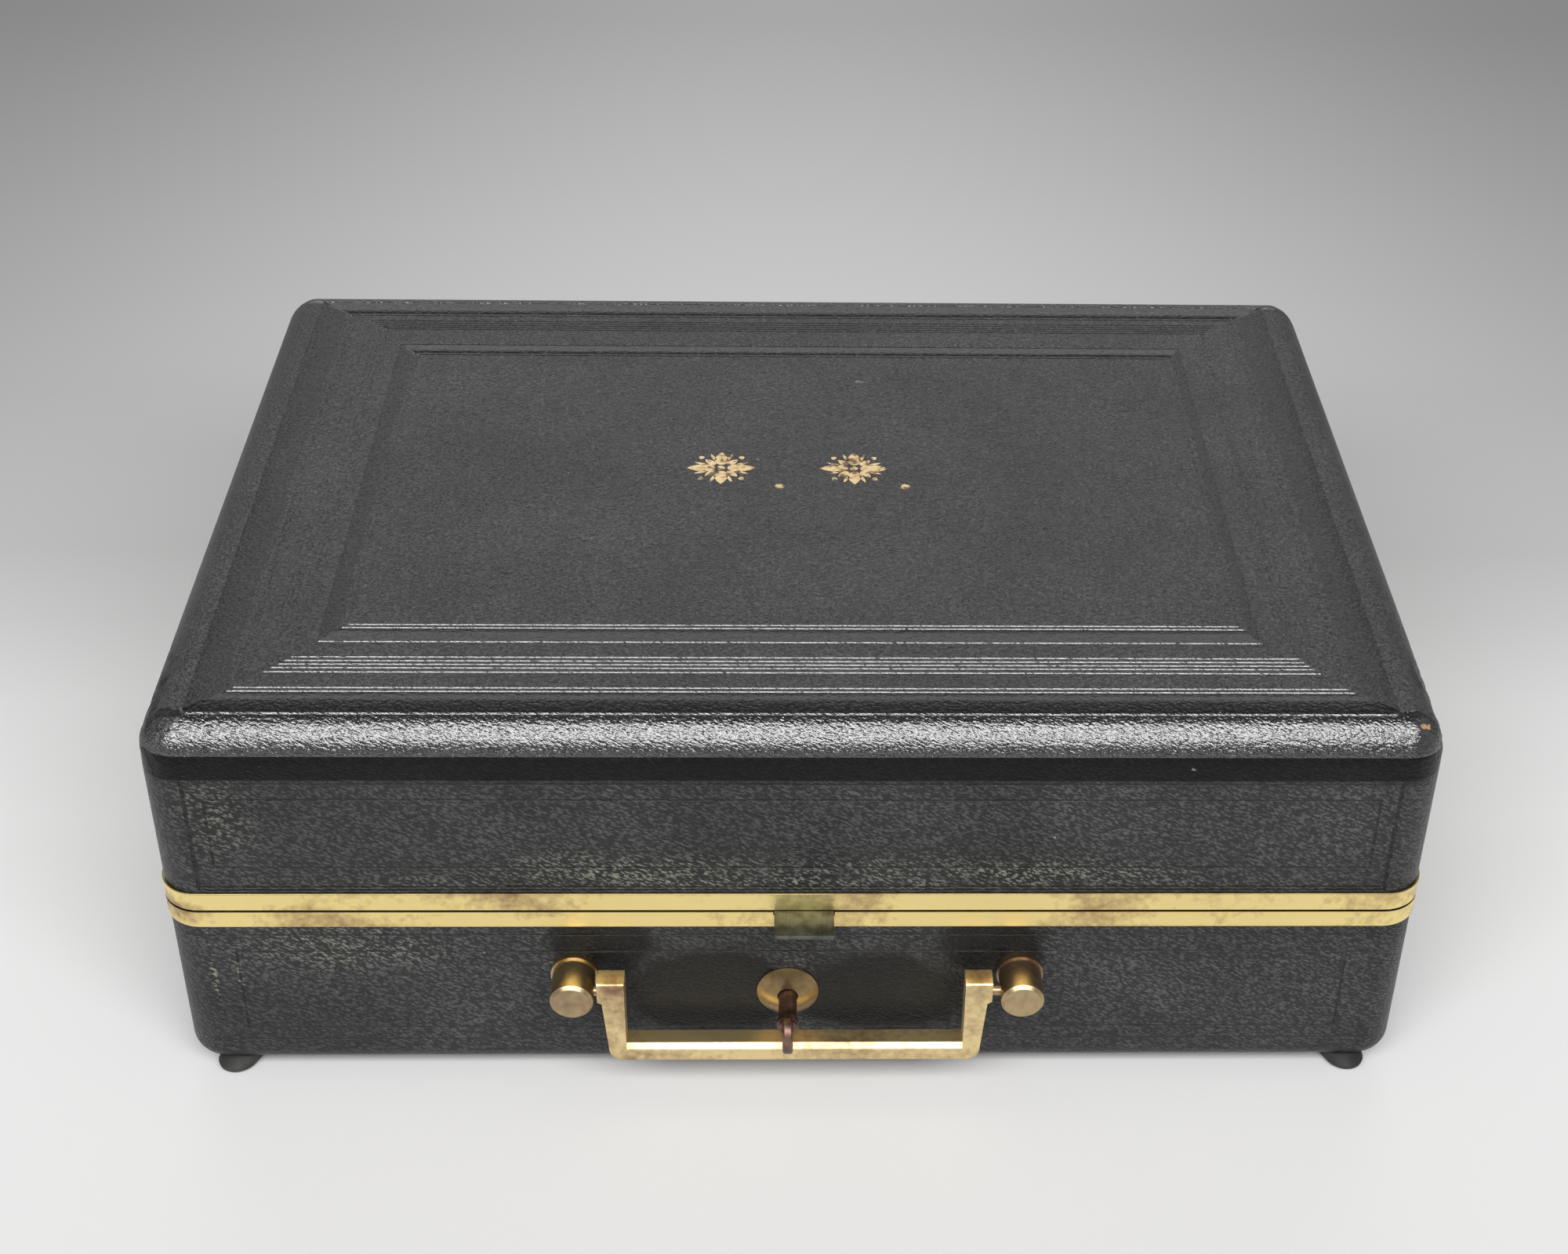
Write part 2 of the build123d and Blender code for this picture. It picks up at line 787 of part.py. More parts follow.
def hasp_screw_starts():
    """Heads of the two screws that hold the hasp plate under the lid."""
    y = -half_depth + leather + (front_wall - lid_set_back) / 2
    return [(tongue_x + side * hasp_screw_spacing / 2, y, hasp_bottom) for side in (-1, 1)]


def hasp(screws):
    """Plate, lift tongue and staple in one steel piece."""
    half = hasp_width / 2
    z = (hasp_bottom, lid_rim_bottom)
    plate_front = -half_depth + leather + hasp_edge
    piece = block((tongue_x - half, tongue_x + half),
                  (plate_front, inner_front - lid_set_back - hasp_fit), z)
    half_tongue = tongue_width / 2
    tongue = block((tongue_x - half_tongue, tongue_x + half_tongue),
                   (-half_depth - tongue_reach, plate_front), z)
    corners = tongue.edges().filter_by(Axis.Z).group_by(Axis.Y)[0]
    piece += fillet(corners, tongue_rounding)
    half_eye = bolt_head / 2 + eye_clearance
    x = (staple_x - staple_thickness / 2, staple_x + staple_thickness / 2)
    piece += block(x, (staple_front, staple_front + staple_depth),
                   (eye_z - half_eye - eye_wall, hasp_bottom))
    piece -= block(x, (bolt_front - eye_clearance, bolt_front + bolt_thickness + eye_clearance),
                   (eye_z - half_eye, eye_z + half_eye))
    for screw in screws:
        piece -= screw
    return piece


# ---- Mirror ----

def mirror_plate(grow, bottom, top):
    """A plate of the mirror's size, grown on every side, between two levels."""
    width = case_width - 2 * mirror_from_side
    depth = case_depth - 2 * mirror_from_front
    return Pos(0, 0, bottom) * extrude(Rectangle(width + 2 * grow, depth + 2 * grow), top - bottom)


def mirror_frame():
    """A moulded frame against the lid's ceiling, rebated for the glass."""
    bottom = lid_lining_ceiling - mirror_frame_height
    body = mirror_plate(mirror_frame_width - mirror_rebate, bottom, lid_lining_ceiling)
    body = chamfer(body.edges().group_by(Axis.Z)[0], mirror_moulding)
    body -= mirror_plate(-mirror_rebate, bottom, lid_lining_ceiling)
    return body - mirror_plate(mirror_fit, lid_lining_ceiling - mirror_glass, lid_lining_ceiling)


def mirror():
    """The mirror's glass."""
    return mirror_plate(0, lid_lining_ceiling - mirror_glass, lid_lining_ceiling)


# ---- Tray and fittings ----

def fitting_rows():
    """Middles of the four rows of fittings, from the front: tools, long box, brushes, bottles."""
    depths = [comb_width, long_box_width, max(brush_width, soap_box_width), bottle_width]
    margin = lining + tray_clearance
    return spread(depths, inner_front + margin, inner_back - margin)


def across(sizes):
    """Middles of the fittings along one row."""
    half = inner_width / 2 - lining - tray_clearance
    return spread(sizes, -half, half)


def bottle_row():
    """Middles of the jars and bottles: a jar at each end."""
    return across([2 * jar_radius] + [bottle_width] * bottle_count + [2 * jar_radius])


def well(x, y, length, width, depth):
    """A well in the tray, with a little room round its fitting."""
    plan = RectangleRounded(length + 2 * well_fit, width + 2 * well_fit, well_corner)
    return Pos(x, y, tray_top - depth) * extrude(plan, depth)


def tool_wells():
    """Middles of the grooves for the manicure tools."""
    tools_x = across([comb_length, tool_length])[1]
    y = fitting_rows()[0]
    middle = (tool_count - 1) / 2
    return [(tools_x, y + (i - middle) * tool_pitch) for i in range(tool_count)]


def tray():
    """The block that holds the fittings, with a well for each."""
    body = inside(-lining - tray_clearance, tray_bottom, tray_top)
    tools_y, boxes_y, brushes_y, bottles_y = fitting_rows()
    full = tray_height - tray_floor
    places = bottle_row()
    for x in (places[0], places[-1]):
        body -= rod(jar_radius + well_fit, (x, bottles_y, well_floor), full)
    for x in places[1:-1]:
        body -= well(x, bottles_y, bottle_width, bottle_width, full)
    left, right, soap = across([brush_length, brush_length, soap_box_length])
    brush_depth = bristle_height + brush_back
    for x in (left, right):
        body -= well(x, brushes_y, brush_length, brush_width, brush_depth)
    body -= well(soap, brushes_y, soap_box_length, soap_box_width, full)
    long_x, sundries_x = across([long_box_length, sundries_length])
    body -= well(long_x, boxes_y, long_box_length, long_box_width, full)
    body -= well(sundries_x, boxes_y, sundries_length, long_box_width, sundries_depth)
    comb_x = across([comb_length, tool_length])[0]
    body -= well(comb_x, tools_y, comb_length, comb_width, shallow_well)
    for x, y in tool_wells():
        body -= well(x, y, tool_length, 2 * tool_handle_radius, shallow_well)
    return body


def bottle_glass(x, y):
    """A square glass bottle with a short round neck."""
    plan = RectangleRounded(bottle_width, bottle_width, bottle_corner)
    body = extrude(plan, bottle_height)
    body = fillet(body.edges().group_by(Axis.Z)[-1], bottle_shoulder)
    body += rod(neck_radius, (0, 0, 0), bottle_height + neck_height)
    width = bottle_width - 2 * glass_wall
    room = extrude(RectangleRounded(width, width, bottle_corner), bottle_height - bottle_base - glass_wall)
    room = fillet(room.edges().group_by(Axis.Z)[-1], bottle_shoulder - 1)
    body -= Pos(0, 0, bottle_base) * room
    body -= rod(neck_radius - neck_wall, (0, 0, bottle_base), bottle_height + neck_height)
    return Pos(x, y, well_floor) * body


def bottle_stopper(x, y):
    """A ground stopper: tapered plug, and a knob that stands under the cap."""
    top = well_floor + bottle_height + neck_height
    mouth = neck_radius - neck_wall - running_fit
    plug = Cone(mouth - stopper_taper, mouth, stopper_plug, align=(Align.CENTER, Align.CENTER, Align.MAX))
    knob = rod(stopper_knob_radius, (x, y, top), stopper_knob_height)
    knob = fillet(knob.edges().group_by(Axis.Z)[-1], stopper_knob_radius / 4)
    flange_disc = rod(neck_radius - neck_wall / 2, (x, y, top), neck_wall / 2)
    return Pos(x, y, top) * plug + flange_disc + knob


def bottle_cap(x, y):
    """A metal cap that stands on the bottle's shoulder, over neck and stopper."""
    foot = well_floor + bottle_height
    outer = rod(neck_radius + cap_fit + cap_wall, (x, y, foot), cap_height)
    outer = fillet(outer.edges().group_by(Axis.Z)[-1], cap_rounding)
    return outer - rod(neck_radius + cap_fit, (x, y, foot), cap_height - cap_wall)


def jar_glass(x, y):
    """A round glass jar."""
    outer = rod(jar_radius, (x, y, well_floor), jar_height)
    outer = fillet(outer.edges().group_by(Axis.Z)[0], jar_rounding)
    return outer - rod(jar_radius - glass_wall, (x, y, well_floor + bottle_base), jar_height)


def jar_lid(x, y):
    """A domed metal lid with a rim that drops inside the jar."""
    foot = well_floor + jar_height
    dome = rod(jar_radius, (x, y, foot), jar_lid_height)
    dome = fillet(dome.edges().group_by(Axis.Z)[-1], jar_lid_rounding)
    rim_radius = jar_radius - glass_wall - box_lid_fit
    dome += rod(rim_radius, (x, y, foot - jar_lid_rebate), jar_lid_rebate)
    hollow = rod(rim_radius - jar_lid_wall, (x, y, foot - jar_lid_rebate),
                 jar_lid_rebate + jar_lid_height - jar_lid_rounding)
    return dome - hollow


def box_glass(x, y, length, width):
    """An oblong glass box, open at the top."""
    outer = extrude(RectangleRounded(length, width, box_corner), box_glass_height)
    inner = extrude(RectangleRounded(length - 2 * glass_wall, width - 2 * glass_wall,
                                     box_corner - glass_wall / 2), box_glass_height)
    return Pos(x, y, well_floor) * (outer - Pos(0, 0, glass_wall) * inner)


def box_lid(x, y, length, width):
    """A metal lid for an oblong box, with a rim that drops inside it."""
    plate = extrude(RectangleRounded(length, width, box_corner), box_lid_height)
    plate = fillet(plate.edges().group_by(Axis.Z)[-1], box_lid_rounding)
    drop = glass_wall + box_lid_fit
    rim = extrude(RectangleRounded(length - 2 * drop, width - 2 * drop, box_corner / 2), -box_lid_tongue)
    return Pos(x, y, well_floor + box_glass_height) * (plate + rim)


def brush_floor():
    """The level that the bristles stand on."""
    return tray_top - bristle_height - brush_back


def brush_bristles(x, y):
    """A block of bristles that narrows to its tips."""
    length = brush_length - 2 * bristle_inset
    width = brush_width - 2 * bristle_inset
    radius = brush_end_radius - bristle_inset
    top = RectangleRounded(length, width, radius)
    tips = RectangleRounded(length - 2 * bristle_taper, width - 2 * bristle_taper, radius - bristle_taper)
    block_shape = loft([tips, Pos(0, 0, bristle_height) * top])
    return Pos(x, y, brush_floor()) * block_shape


def brush_back_piece(x, y):
    """The brush's back, domed along its top edge."""
    plate = extrude(RectangleRounded(brush_length, brush_width, brush_end_radius), brush_back)
    plate = fillet(plate.edges().group_by(Axis.Z)[-1], brush_back_rounding)
    return Pos(x, y, brush_floor() + bristle_height) * plate


def comb(x, y):
    """A dressing comb lying flat, its teeth cut from one edge."""
    floor = tray_top - shallow_well
    body = block((x - comb_length / 2, x + comb_length / 2), (y - comb_width / 2, y + comb_width / 2),
                 (floor, floor + comb_thickness))
    pitch = comb_tooth + comb_tooth_gap
    count = int((comb_length - 2 * comb_end) / pitch)
    start = x - count * pitch / 2
    back = y + comb_width / 2 - comb_spine
    gaps = [block((start + i * pitch, start + i * pitch + comb_tooth_gap), (y - comb_width / 2, back),
                  (floor, floor + comb_thickness)) for i in range(count + 1)]
    return body - gaps


def tool_handle(x, y, steel):
    """A round tapered handle, its blade's tang let into one end."""
    z = tray_top - shallow_well + tool_handle_radius
    bar = rod(tool_handle_radius, (x - tool_length / 2, y, z), tool_handle_length, "+X")
    bar = fillet(bar.edges().filter_by(GeomType.CIRCLE), tool_handle_rounding)
    return bar - steel


def tool_steel(x, y, kind):
    """The steel of one tool: 0 a nail file, 1 a button hook, 2 a pair of tweezers."""
    z = tray_top - shallow_well + tool_handle_radius
    start = x - tool_length / 2 + tool_handle_length
    end = x + tool_length / 2
    half = tool_steel_width / 2
    thin = tool_steel_thickness / 2
    tang = rod(tool_steel_thickness, (start - tool_tang, y, z), tool_tang + half, "+X")
    if kind == 0:
        return tang + block((start, end), (y - half, y + half), (z - thin, z + thin))
    if kind == 1:
        hook_x = end - half - thin
        stem = rod(tool_steel_thickness, (start, y + half, z), hook_x - start, "+X")
        neck = block((start, start + thin), (y, y + half), (z - thin, z + thin))
        eye = (hook_x, y, z - thin)
        ring = rod(half + thin, eye, 2 * thin) - rod(half - thin, eye, 2 * thin)
        ring -= block((start, hook_x), (y - 2 * half, y), (z - thin, z + thin))
        return tang + stem + neck + ring
    arms = block((start, end), (y - half, y - half + thin), (z - thin, z + thin))
    arms += block((start, end), (y + half - thin, y + half), (z - thin, z + thin))
    return tang + arms + block((start, start + half), (y - half, y + half), (z - thin, z + thin))


# ---- Fasteners first, because the pieces are cut from them ----

body_leaf_starts = [hinge_screw_starts(x, body_rim_top) for x in hinge_places()]
lid_leaf_starts = [hinge_screw_starts(x, lid_rim_bottom) for x in hinge_places()]
body_leaf_screws = [[screw_body(start, "-Z", screw_length) for start in row] for row in body_leaf_starts]
lid_leaf_screws = [[screw_body(start, "+Z", screw_length) for start in row] for row in lid_leaf_starts]
hasp_screws = [screw_body(start, "+Z", screw_length) for start in hasp_screw_starts()]
lock_screws = [screw_body(start, "-Y", screw_length) for start in lock_screw_starts()]
nails = foot_nails()
pins = [pivot_pin(x, side) for x, side in post_places()]
side_names = ["left", "right"]


def save_screws(name, screws, starts, direction):
    """One node of slotted screws."""
    save(name, *[slotted(screw, start, direction) for screw, start in zip(screws, starts)])


# ---- Case nodes ----

save("feet", *feet(nails))
save("foot_nails", *nails)
save("body_carcass", body_carcass(body_leaf_screws[0] + body_leaf_screws[1] + lock_screws, nails))
save("body_leather", body_leather(nails))
save("body_frame", body_frame())
save("body_lining", body_lining())
save("lid_carcass", lid_carcass(lid_leaf_screws[0] + lid_leaf_screws[1] + hasp_screws))
save("lid_leather", lid_leather())
save("lid_frame", lid_frame(hasp_screws))
save("lid_lining", lid_lining())
save("mirror_frame", mirror_frame())
save("mirror_glass", mirror())

# ---- Hinge nodes ----

for i, hinge_x in enumerate(hinge_places()):
    side_name = side_names[i]
    body_leaf = hinge_leaf(hinge_x, body_wood_top, body_rim_top, 0, body_leaf_screws[i])
    lid_leaf = hinge_leaf(hinge_x, lid_rim_bottom, lid_wood_bottom, 1, lid_leaf_screws[i])
    save(f"hinge_leaf_body_{side_name}", body_leaf)
    save(f"hinge_leaf_lid_{side_name}", lid_leaf)
    save(f"hinge_pin_{side_name}", hinge_pin(hinge_x))
save_screws("hinge_screws_body", body_leaf_screws[0] + body_leaf_screws[1],
            body_leaf_starts[0] + body_leaf_starts[1], "-Z")
save_screws("hinge_screws_lid", lid_leaf_screws[0] + lid_leaf_screws[1],
            lid_leaf_starts[0] + lid_leaf_starts[1], "+Z")

# ---- Handle nodes ----

save("handle_bail", bail())
for i, (post_x, side) in enumerate(post_places()):
    save(f"handle_post_{side_names[i]}", handle_post(post_x, pins[i]))
    save(f"handle_pivot_pin_{side_names[i]}", pins[i])
save("handle_washers", *[stud_washer(x) for x, _ in post_places()])
save("handle_nuts", *[stud_nut(x) for x, _ in post_places()])

# ---- Lock nodes ----

save("escutcheon", escutcheon())
save("key", key())
save("lock_case", lock_case())
save("lock_cover", lock_cover_plate(lock_screws))
save("lock_bolt", bolt())
save("hasp", hasp(hasp_screws))
save_screws("lock_screws", lock_screws, lock_screw_starts(), "-Y")
save_screws("hasp_screws", hasp_screws, hasp_screw_starts(), "+Z")

# ---- Fitting nodes ----

tools_y, boxes_y, brushes_y, bottles_y = fitting_rows()
save("fitting_tray", tray())
row = bottle_row()
for i, bottle_x in enumerate(row[1:-1], start=1):
    save(f"scent_bottle_{i}", bottle_glass(bottle_x, bottles_y))
    save(f"scent_bottle_cap_{i}", bottle_cap(bottle_x, bottles_y))
save("bottle_stoppers", *[bottle_stopper(x, bottles_y) for x in row[1:-1]])
for i, jar_x in enumerate((row[0], row[-1]), start=1):
    save(f"powder_jar_{i}", jar_glass(jar_x, bottles_y))
    save(f"powder_jar_lid_{i}", jar_lid(jar_x, bottles_y))
brush_row = across([brush_length, brush_length, soap_box_length])
for i, brush_x in enumerate(brush_row[:2], start=1):
    save(f"hair_brush_back_{i}", brush_back_piece(brush_x, brushes_y))
    save(f"hair_brush_bristles_{i}", brush_bristles(brush_x, brushes_y))
save("soap_box", box_glass(brush_row[2], brushes_y, soap_box_length, soap_box_width))
save("soap_box_lid", box_lid(brush_row[2], brushes_y, soap_box_length, soap_box_width))
long_x = across([long_box_length, sundries_length])[0]
save("toothbrush_box", box_glass(long_x, boxes_y, long_box_length, long_box_width))
save("toothbrush_box_lid", box_lid(long_x, boxes_y, long_box_length, long_box_width))
save("comb", comb(across([comb_length, tool_length])[0], tools_y))
steels = [tool_steel(x, y, i % 3) for i, (x, y) in enumerate(tool_wells())]
handles = [tool_handle(x, y, steel) for (x, y), steel in zip(tool_wells(), steels)]
save("tool_steels", *steels)
save("tool_handles", *handles)
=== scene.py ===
import math

import bmesh
import bpy
from mathutils import Matrix, Vector, noise


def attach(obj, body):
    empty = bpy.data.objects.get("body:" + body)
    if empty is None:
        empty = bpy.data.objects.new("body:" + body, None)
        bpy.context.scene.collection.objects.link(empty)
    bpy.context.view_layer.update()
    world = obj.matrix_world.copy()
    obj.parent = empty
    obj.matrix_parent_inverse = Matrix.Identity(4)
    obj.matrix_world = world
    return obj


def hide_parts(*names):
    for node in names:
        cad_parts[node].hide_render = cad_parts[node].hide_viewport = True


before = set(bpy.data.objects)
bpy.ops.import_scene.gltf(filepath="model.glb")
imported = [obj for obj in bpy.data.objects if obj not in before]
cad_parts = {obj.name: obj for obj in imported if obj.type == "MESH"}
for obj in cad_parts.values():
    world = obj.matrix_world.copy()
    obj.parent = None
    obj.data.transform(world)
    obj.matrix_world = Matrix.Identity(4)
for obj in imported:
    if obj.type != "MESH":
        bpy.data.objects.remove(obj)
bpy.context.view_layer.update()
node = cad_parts

# ---- Feet and nails ----
# Four small domed feet of black vulcanised rubber, each held by a round-headed nail from below.
# The rubber is dull and dusty in its pores; the nail heads are dark iron.


def new_finish(name):
    """An empty node material: itself, its nodes, its links and its surface shader."""
    made = bpy.data.materials.new(name)
    made.use_nodes = True
    nodes = made.node_tree.nodes
    return made, nodes, made.node_tree.links, nodes["Principled BSDF"]


def grain(nodes, links, scale, detail=4.0, stretch=(1, 1, 1), turn=(0, 0, 0), kind="ShaderNodeTexNoise"):
    """Noise or cells on the object's own coordinates, stretched or turned with the material's direction."""
    where = nodes.new("ShaderNodeTexCoord")
    lay = nodes.new("ShaderNodeMapping")
    lay.vector_type = "TEXTURE"
    lay.inputs["Scale"].default_value = [1 / share for share in stretch]
    lay.inputs["Rotation"].default_value = turn
    made = nodes.new(kind)
    made.inputs["Scale"].default_value = scale
    made.inputs["Detail"].default_value = detail
    links.new(where.outputs["Object"], lay.inputs["Vector"])
    links.new(lay.outputs["Vector"], made.inputs["Vector"])
    return made


def shades(nodes, links, source, *stops):
    """A ramp over a source: each stop is a place and a colour."""
    made = nodes.new("ShaderNodeValToRGB")
    bar = made.color_ramp.elements
    while len(bar) < len(stops):
        bar.new(0.5)
    for element, (place, colour) in zip(bar, stops):
        element.position = place
        element.color = (*colour, 1.0)
    links.new(source, made.inputs["Fac"])
    return made.outputs["Color"]


def lay_over(nodes, links, factor, below, above, how="MIX"):
    """One colour laid over another; each value is a socket or a plain one."""
    made = nodes.new("ShaderNodeMix")
    made.data_type = "RGBA"
    made.blend_type = how
    for socket, value in ((made.inputs[0], factor), (made.inputs[6], below), (made.inputs[7], above)):
        if isinstance(value, bpy.types.NodeSocket):
            links.new(value, socket)
        else:
            socket.default_value = value if socket.type == "VALUE" else (*value, 1.0)
    return made.outputs[2]


def sums(nodes, links, how, first, second=0.0, third=0.0):
    """One step of arithmetic between sockets or numbers."""
    made = nodes.new("ShaderNodeMath")
    made.operation = how
    for socket, value in zip(made.inputs, (first, second, third)):
        if isinstance(value, bpy.types.NodeSocket):
            links.new(value, socket)
        else:
            socket.default_value = value
    return made.outputs[0]


def relief(nodes, links, shader, height, depth, strength=1.0, under=None):
    """A bump of a real depth in metres on the shader's normal, over another one if given."""
    made = nodes.new("ShaderNodeBump")
    made.inputs["Strength"].default_value = strength
    made.inputs["Distance"].default_value = depth
    links.new(height, made.inputs["Height"])
    if under is not None:
        links.new(under, made.inputs["Normal"])
    links.new(made.outputs["Normal"], shader.inputs["Normal"])
    return made.outputs["Normal"]


def finish_nodes(finish, *names):
    """Gives CAD nodes a finish in the slots they have."""
    for name in names:
        for slot in node[name].material_slots:
            slot.material = finish


rubber, nodes, links, shader = new_finish("foot_rubber")
pores = grain(nodes, links, 900)
dust = grain(nodes, links, 160, 6)
dusty = shades(nodes, links, dust.outputs["Fac"], (0.35, (0.012, 0.012, 0.012)), (0.75, (0.05, 0.048, 0.045)))
links.new(dusty, shader.inputs["Base Color"])
shader.inputs["Roughness"].default_value = 0.72
relief(nodes, links, shader, pores.outputs["Fac"], 0.0001)
case_back = 0.0088           # the middle of the case lies this far behind the part's own
foot_height, foot_radius = 0.0045, 0.0060
foot_tread, nail_recess = 0.0026, 0.0012
foot_x, foot_y = 0.1653, 0.1215
foot_spread = 0.0044         # how far a foot is squashed at its widest
spread_x, spread_y = 0.5, 0.866
# Each ring, from the top down, is its radius, its height and how much of the spread it has.
foot_rings = ((foot_radius, foot_height, 0.0), (foot_radius, 0.0038, 0.3), (0.0058, 0.0030, 0.7),
              (0.0056, 0.0020, 1.0), (0.0054, 0.0010, 1.0), (0.0049, 0.0003, 0.9), (0.0042, 0.0, 0.8),
              (foot_tread, 0.0, 0.0), (foot_tread, nail_recess, 0.0))
feet = []
for side_x, side_y in ((1, 1), (-1, 1), (-1, -1), (1, -1)):
    middle_x, middle_y = side_x * foot_x, side_y * foot_y + case_back
    bpy.ops.object.select_all(action="DESELECT")
    bpy.ops.mesh.primitive_circle_add(vertices=40, radius=foot_radius, fill_type="NGON",
                                      location=(middle_x, middle_y, foot_height))
    feet.append(bpy.context.object)
    bpy.ops.object.transform_apply(location=True)
    bpy.ops.object.mode_set(mode="EDIT")
    for radius, height, worn in foot_rings[1:]:
        bpy.ops.mesh.extrude_region_move()
        mesh = bmesh.from_edit_mesh(feet[-1].data)
        for vert in [vert for vert in mesh.verts if vert.select]:
            turn = math.atan2(vert.co.y - middle_y, vert.co.x - middle_x)
            way = Vector((math.cos(turn), math.sin(turn), 0))
            lean = max(0.0, way.dot(Vector((side_x * spread_x, side_y * spread_y, 0))))
            reach = radius + worn * foot_spread * lean ** 2
            vert.co = Vector((middle_x, middle_y, height)) + way * reach
        bmesh.update_edit_mesh(feet[-1].data)
    bpy.ops.mesh.select_all(action="SELECT")
    bpy.ops.mesh.normals_make_consistent(inside=False)
    bpy.ops.object.mode_set(mode="OBJECT")
bpy.ops.object.select_all(action="DESELECT")
for foot in feet:
    foot.select_set(True)
bpy.context.view_layer.objects.active = feet[0]
bpy.ops.object.join()
worn_feet = bpy.context.object
worn_feet.name = "worn_feet"
worn_feet.data.materials.append(rubber)
bpy.ops.object.shade_smooth_by_angle(angle=math.radians(50))
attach(worn_feet, "case")
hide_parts("feet")


def steel_finish(name, dark, pale, rough, scratch_scale=(1, 1, 1), scratch_depth=0.00003):
    """Steel with fine scratches in one direction and a mottled skin between two colours."""
    made, nodes, links, shader = new_finish(name)
    mottle = grain(nodes, links, 240, 6)
    lines = grain(nodes, links, 1400, 2, scratch_scale)
    skin = shades(nodes, links, mottle.outputs["Fac"], (0.34, dark), (0.68, pale))
    links.new(lay_over(nodes, links, lines.outputs["Fac"], skin, (0.9, 0.9, 0.9), "SOFT_LIGHT"),
              shader.inputs["Base Color"])
    shader.inputs["Metallic"].default_value = 1.0
    links.new(sums(nodes, links, "MULTIPLY_ADD", mottle.outputs["Fac"], 0.35, rough - 0.15),
              shader.inputs["Roughness"])
    relief(nodes, links, shader, lines.outputs["Fac"], scratch_depth)
    return made


screw_steel = steel_finish("screw_steel", (0.16, 0.15, 0.14), (0.5, 0.49, 0.47), 0.42)
finish_nodes(screw_steel, "foot_nails", "hasp_screws", "lock_screws")

# ---- Wooden carcasses ----
# Mahogany boards, glued and dovetailed under the leather; only the edges round the lock, hinges
# and nuts ever show.
wood, nodes, links, shader = new_finish("case_wood")
fibre = grain(nodes, links, 260, 8, (0.06, 1, 1))
figure = grain(nodes, links, 30, 4, (0.12, 1, 1))
tone = shades(nodes, links, figure.outputs["Fac"], (0.3, (0.17, 0.075, 0.035)), (0.7, (0.34, 0.17, 0.085)))
links.new(lay_over(nodes, links, fibre.outputs["Fac"], tone, (0.06, 0.025, 0.012)), shader.inputs["Base Color"])
shader.inputs["Roughness"].default_value = 0.6
relief(nodes, links, shader, fibre.outputs["Fac"], 0.00008)
finish_nodes(wood, "body_carcass", "lid_carcass")

# ---- Body's leather ----
# Black goatskin pasted over the carcass in one piece, turned over the edges and blind tooled:
# hot brass wheels have pressed its lines into the skin. It is rounded round the bottom edge.
half_width = 0.180
half_depth = 0.131
front_face = case_back - half_depth
leather_bottom = foot_height
body_skin_top = 0.0595
skin = 0.0013                # the leather's thickness
skin_gap = 0.0001            # left between leather and wood
open_edge = 0.0008           # the leather's cut edge is pared over this height
pared = 0.00018              # by this much
corner_radius = 0.011
corner_points = 9            # on each corner of a ring round the case


def plan_ring(insets, radius):
    """Points round the case's outline, drawn in by a distance on the front, left, right and back."""
    front, left, right, back = insets
    points = []
    for side_x, side_y, start in ((1, -1, -90), (1, 1, 0), (-1, 1, 90), (-1, -1, 180)):
        x = side_x * (half_width - (right if side_x > 0 else left) - radius)
        y = side_y * (half_depth - (back if side_y > 0 else front) - radius)
        for step in range(corner_points):
            angle = math.radians(start + 90 * step / (corner_points - 1))
            points.append((x + radius * math.cos(angle), y + radius * math.sin(angle)))
    return points


def raise_cover(name, rings, finishes):
    """A cover raised ring by ring from its open edge: each ring is extruded from the last and set in place.

    A ring is (points, heights, finish of the strip before it). The last one is filled, the first stays open.
    """
    bpy.ops.object.select_all(action="DESELECT")
    bpy.ops.mesh.primitive_circle_add(vertices=4 * corner_points, radius=0.1, fill_type="NOTHING")
    cover = bpy.context.object
    cover.name = name
    for finish in finishes:
        cover.data.materials.append(finish)
    bpy.ops.object.mode_set(mode="EDIT")
    mesh = bmesh.from_edit_mesh(cover.data)
    place = mesh.verts.layers.int.new("place")
    mesh.verts.ensure_lookup_table()
    edge = [mesh.verts[i] for i in range(4 * corner_points)]
    for i, vert in enumerate(edge):
        vert[place] = i
    for number, (points, heights, finish) in enumerate(rings):
        if number:
            bpy.ops.mesh.extrude_region_move()
            mesh = bmesh.from_edit_mesh(cover.data)
            place = mesh.verts.layers.int["place"]
            edge = [vert for vert in mesh.verts if vert.select]
        for vert in edge:
            x, y = points[vert[place]]
            vert.co = (x, y + case_back, heights[vert[place]])
        if number:
            for vert in edge:
                for face in vert.link_faces:
                    if not all(corner.select for corner in face.verts):
                        face.material_index = finish
        bmesh.update_edit_mesh(cover.data)
    bpy.ops.mesh.edge_face_add()
    bpy.ops.mesh.select_all(action="SELECT")
    bpy.ops.mesh.normals_make_consistent(inside=False)
    bpy.ops.object.mode_set(mode="OBJECT")
    return cover


def level(height):
    """The same height all round a ring."""
    return [height] * (4 * corner_points)


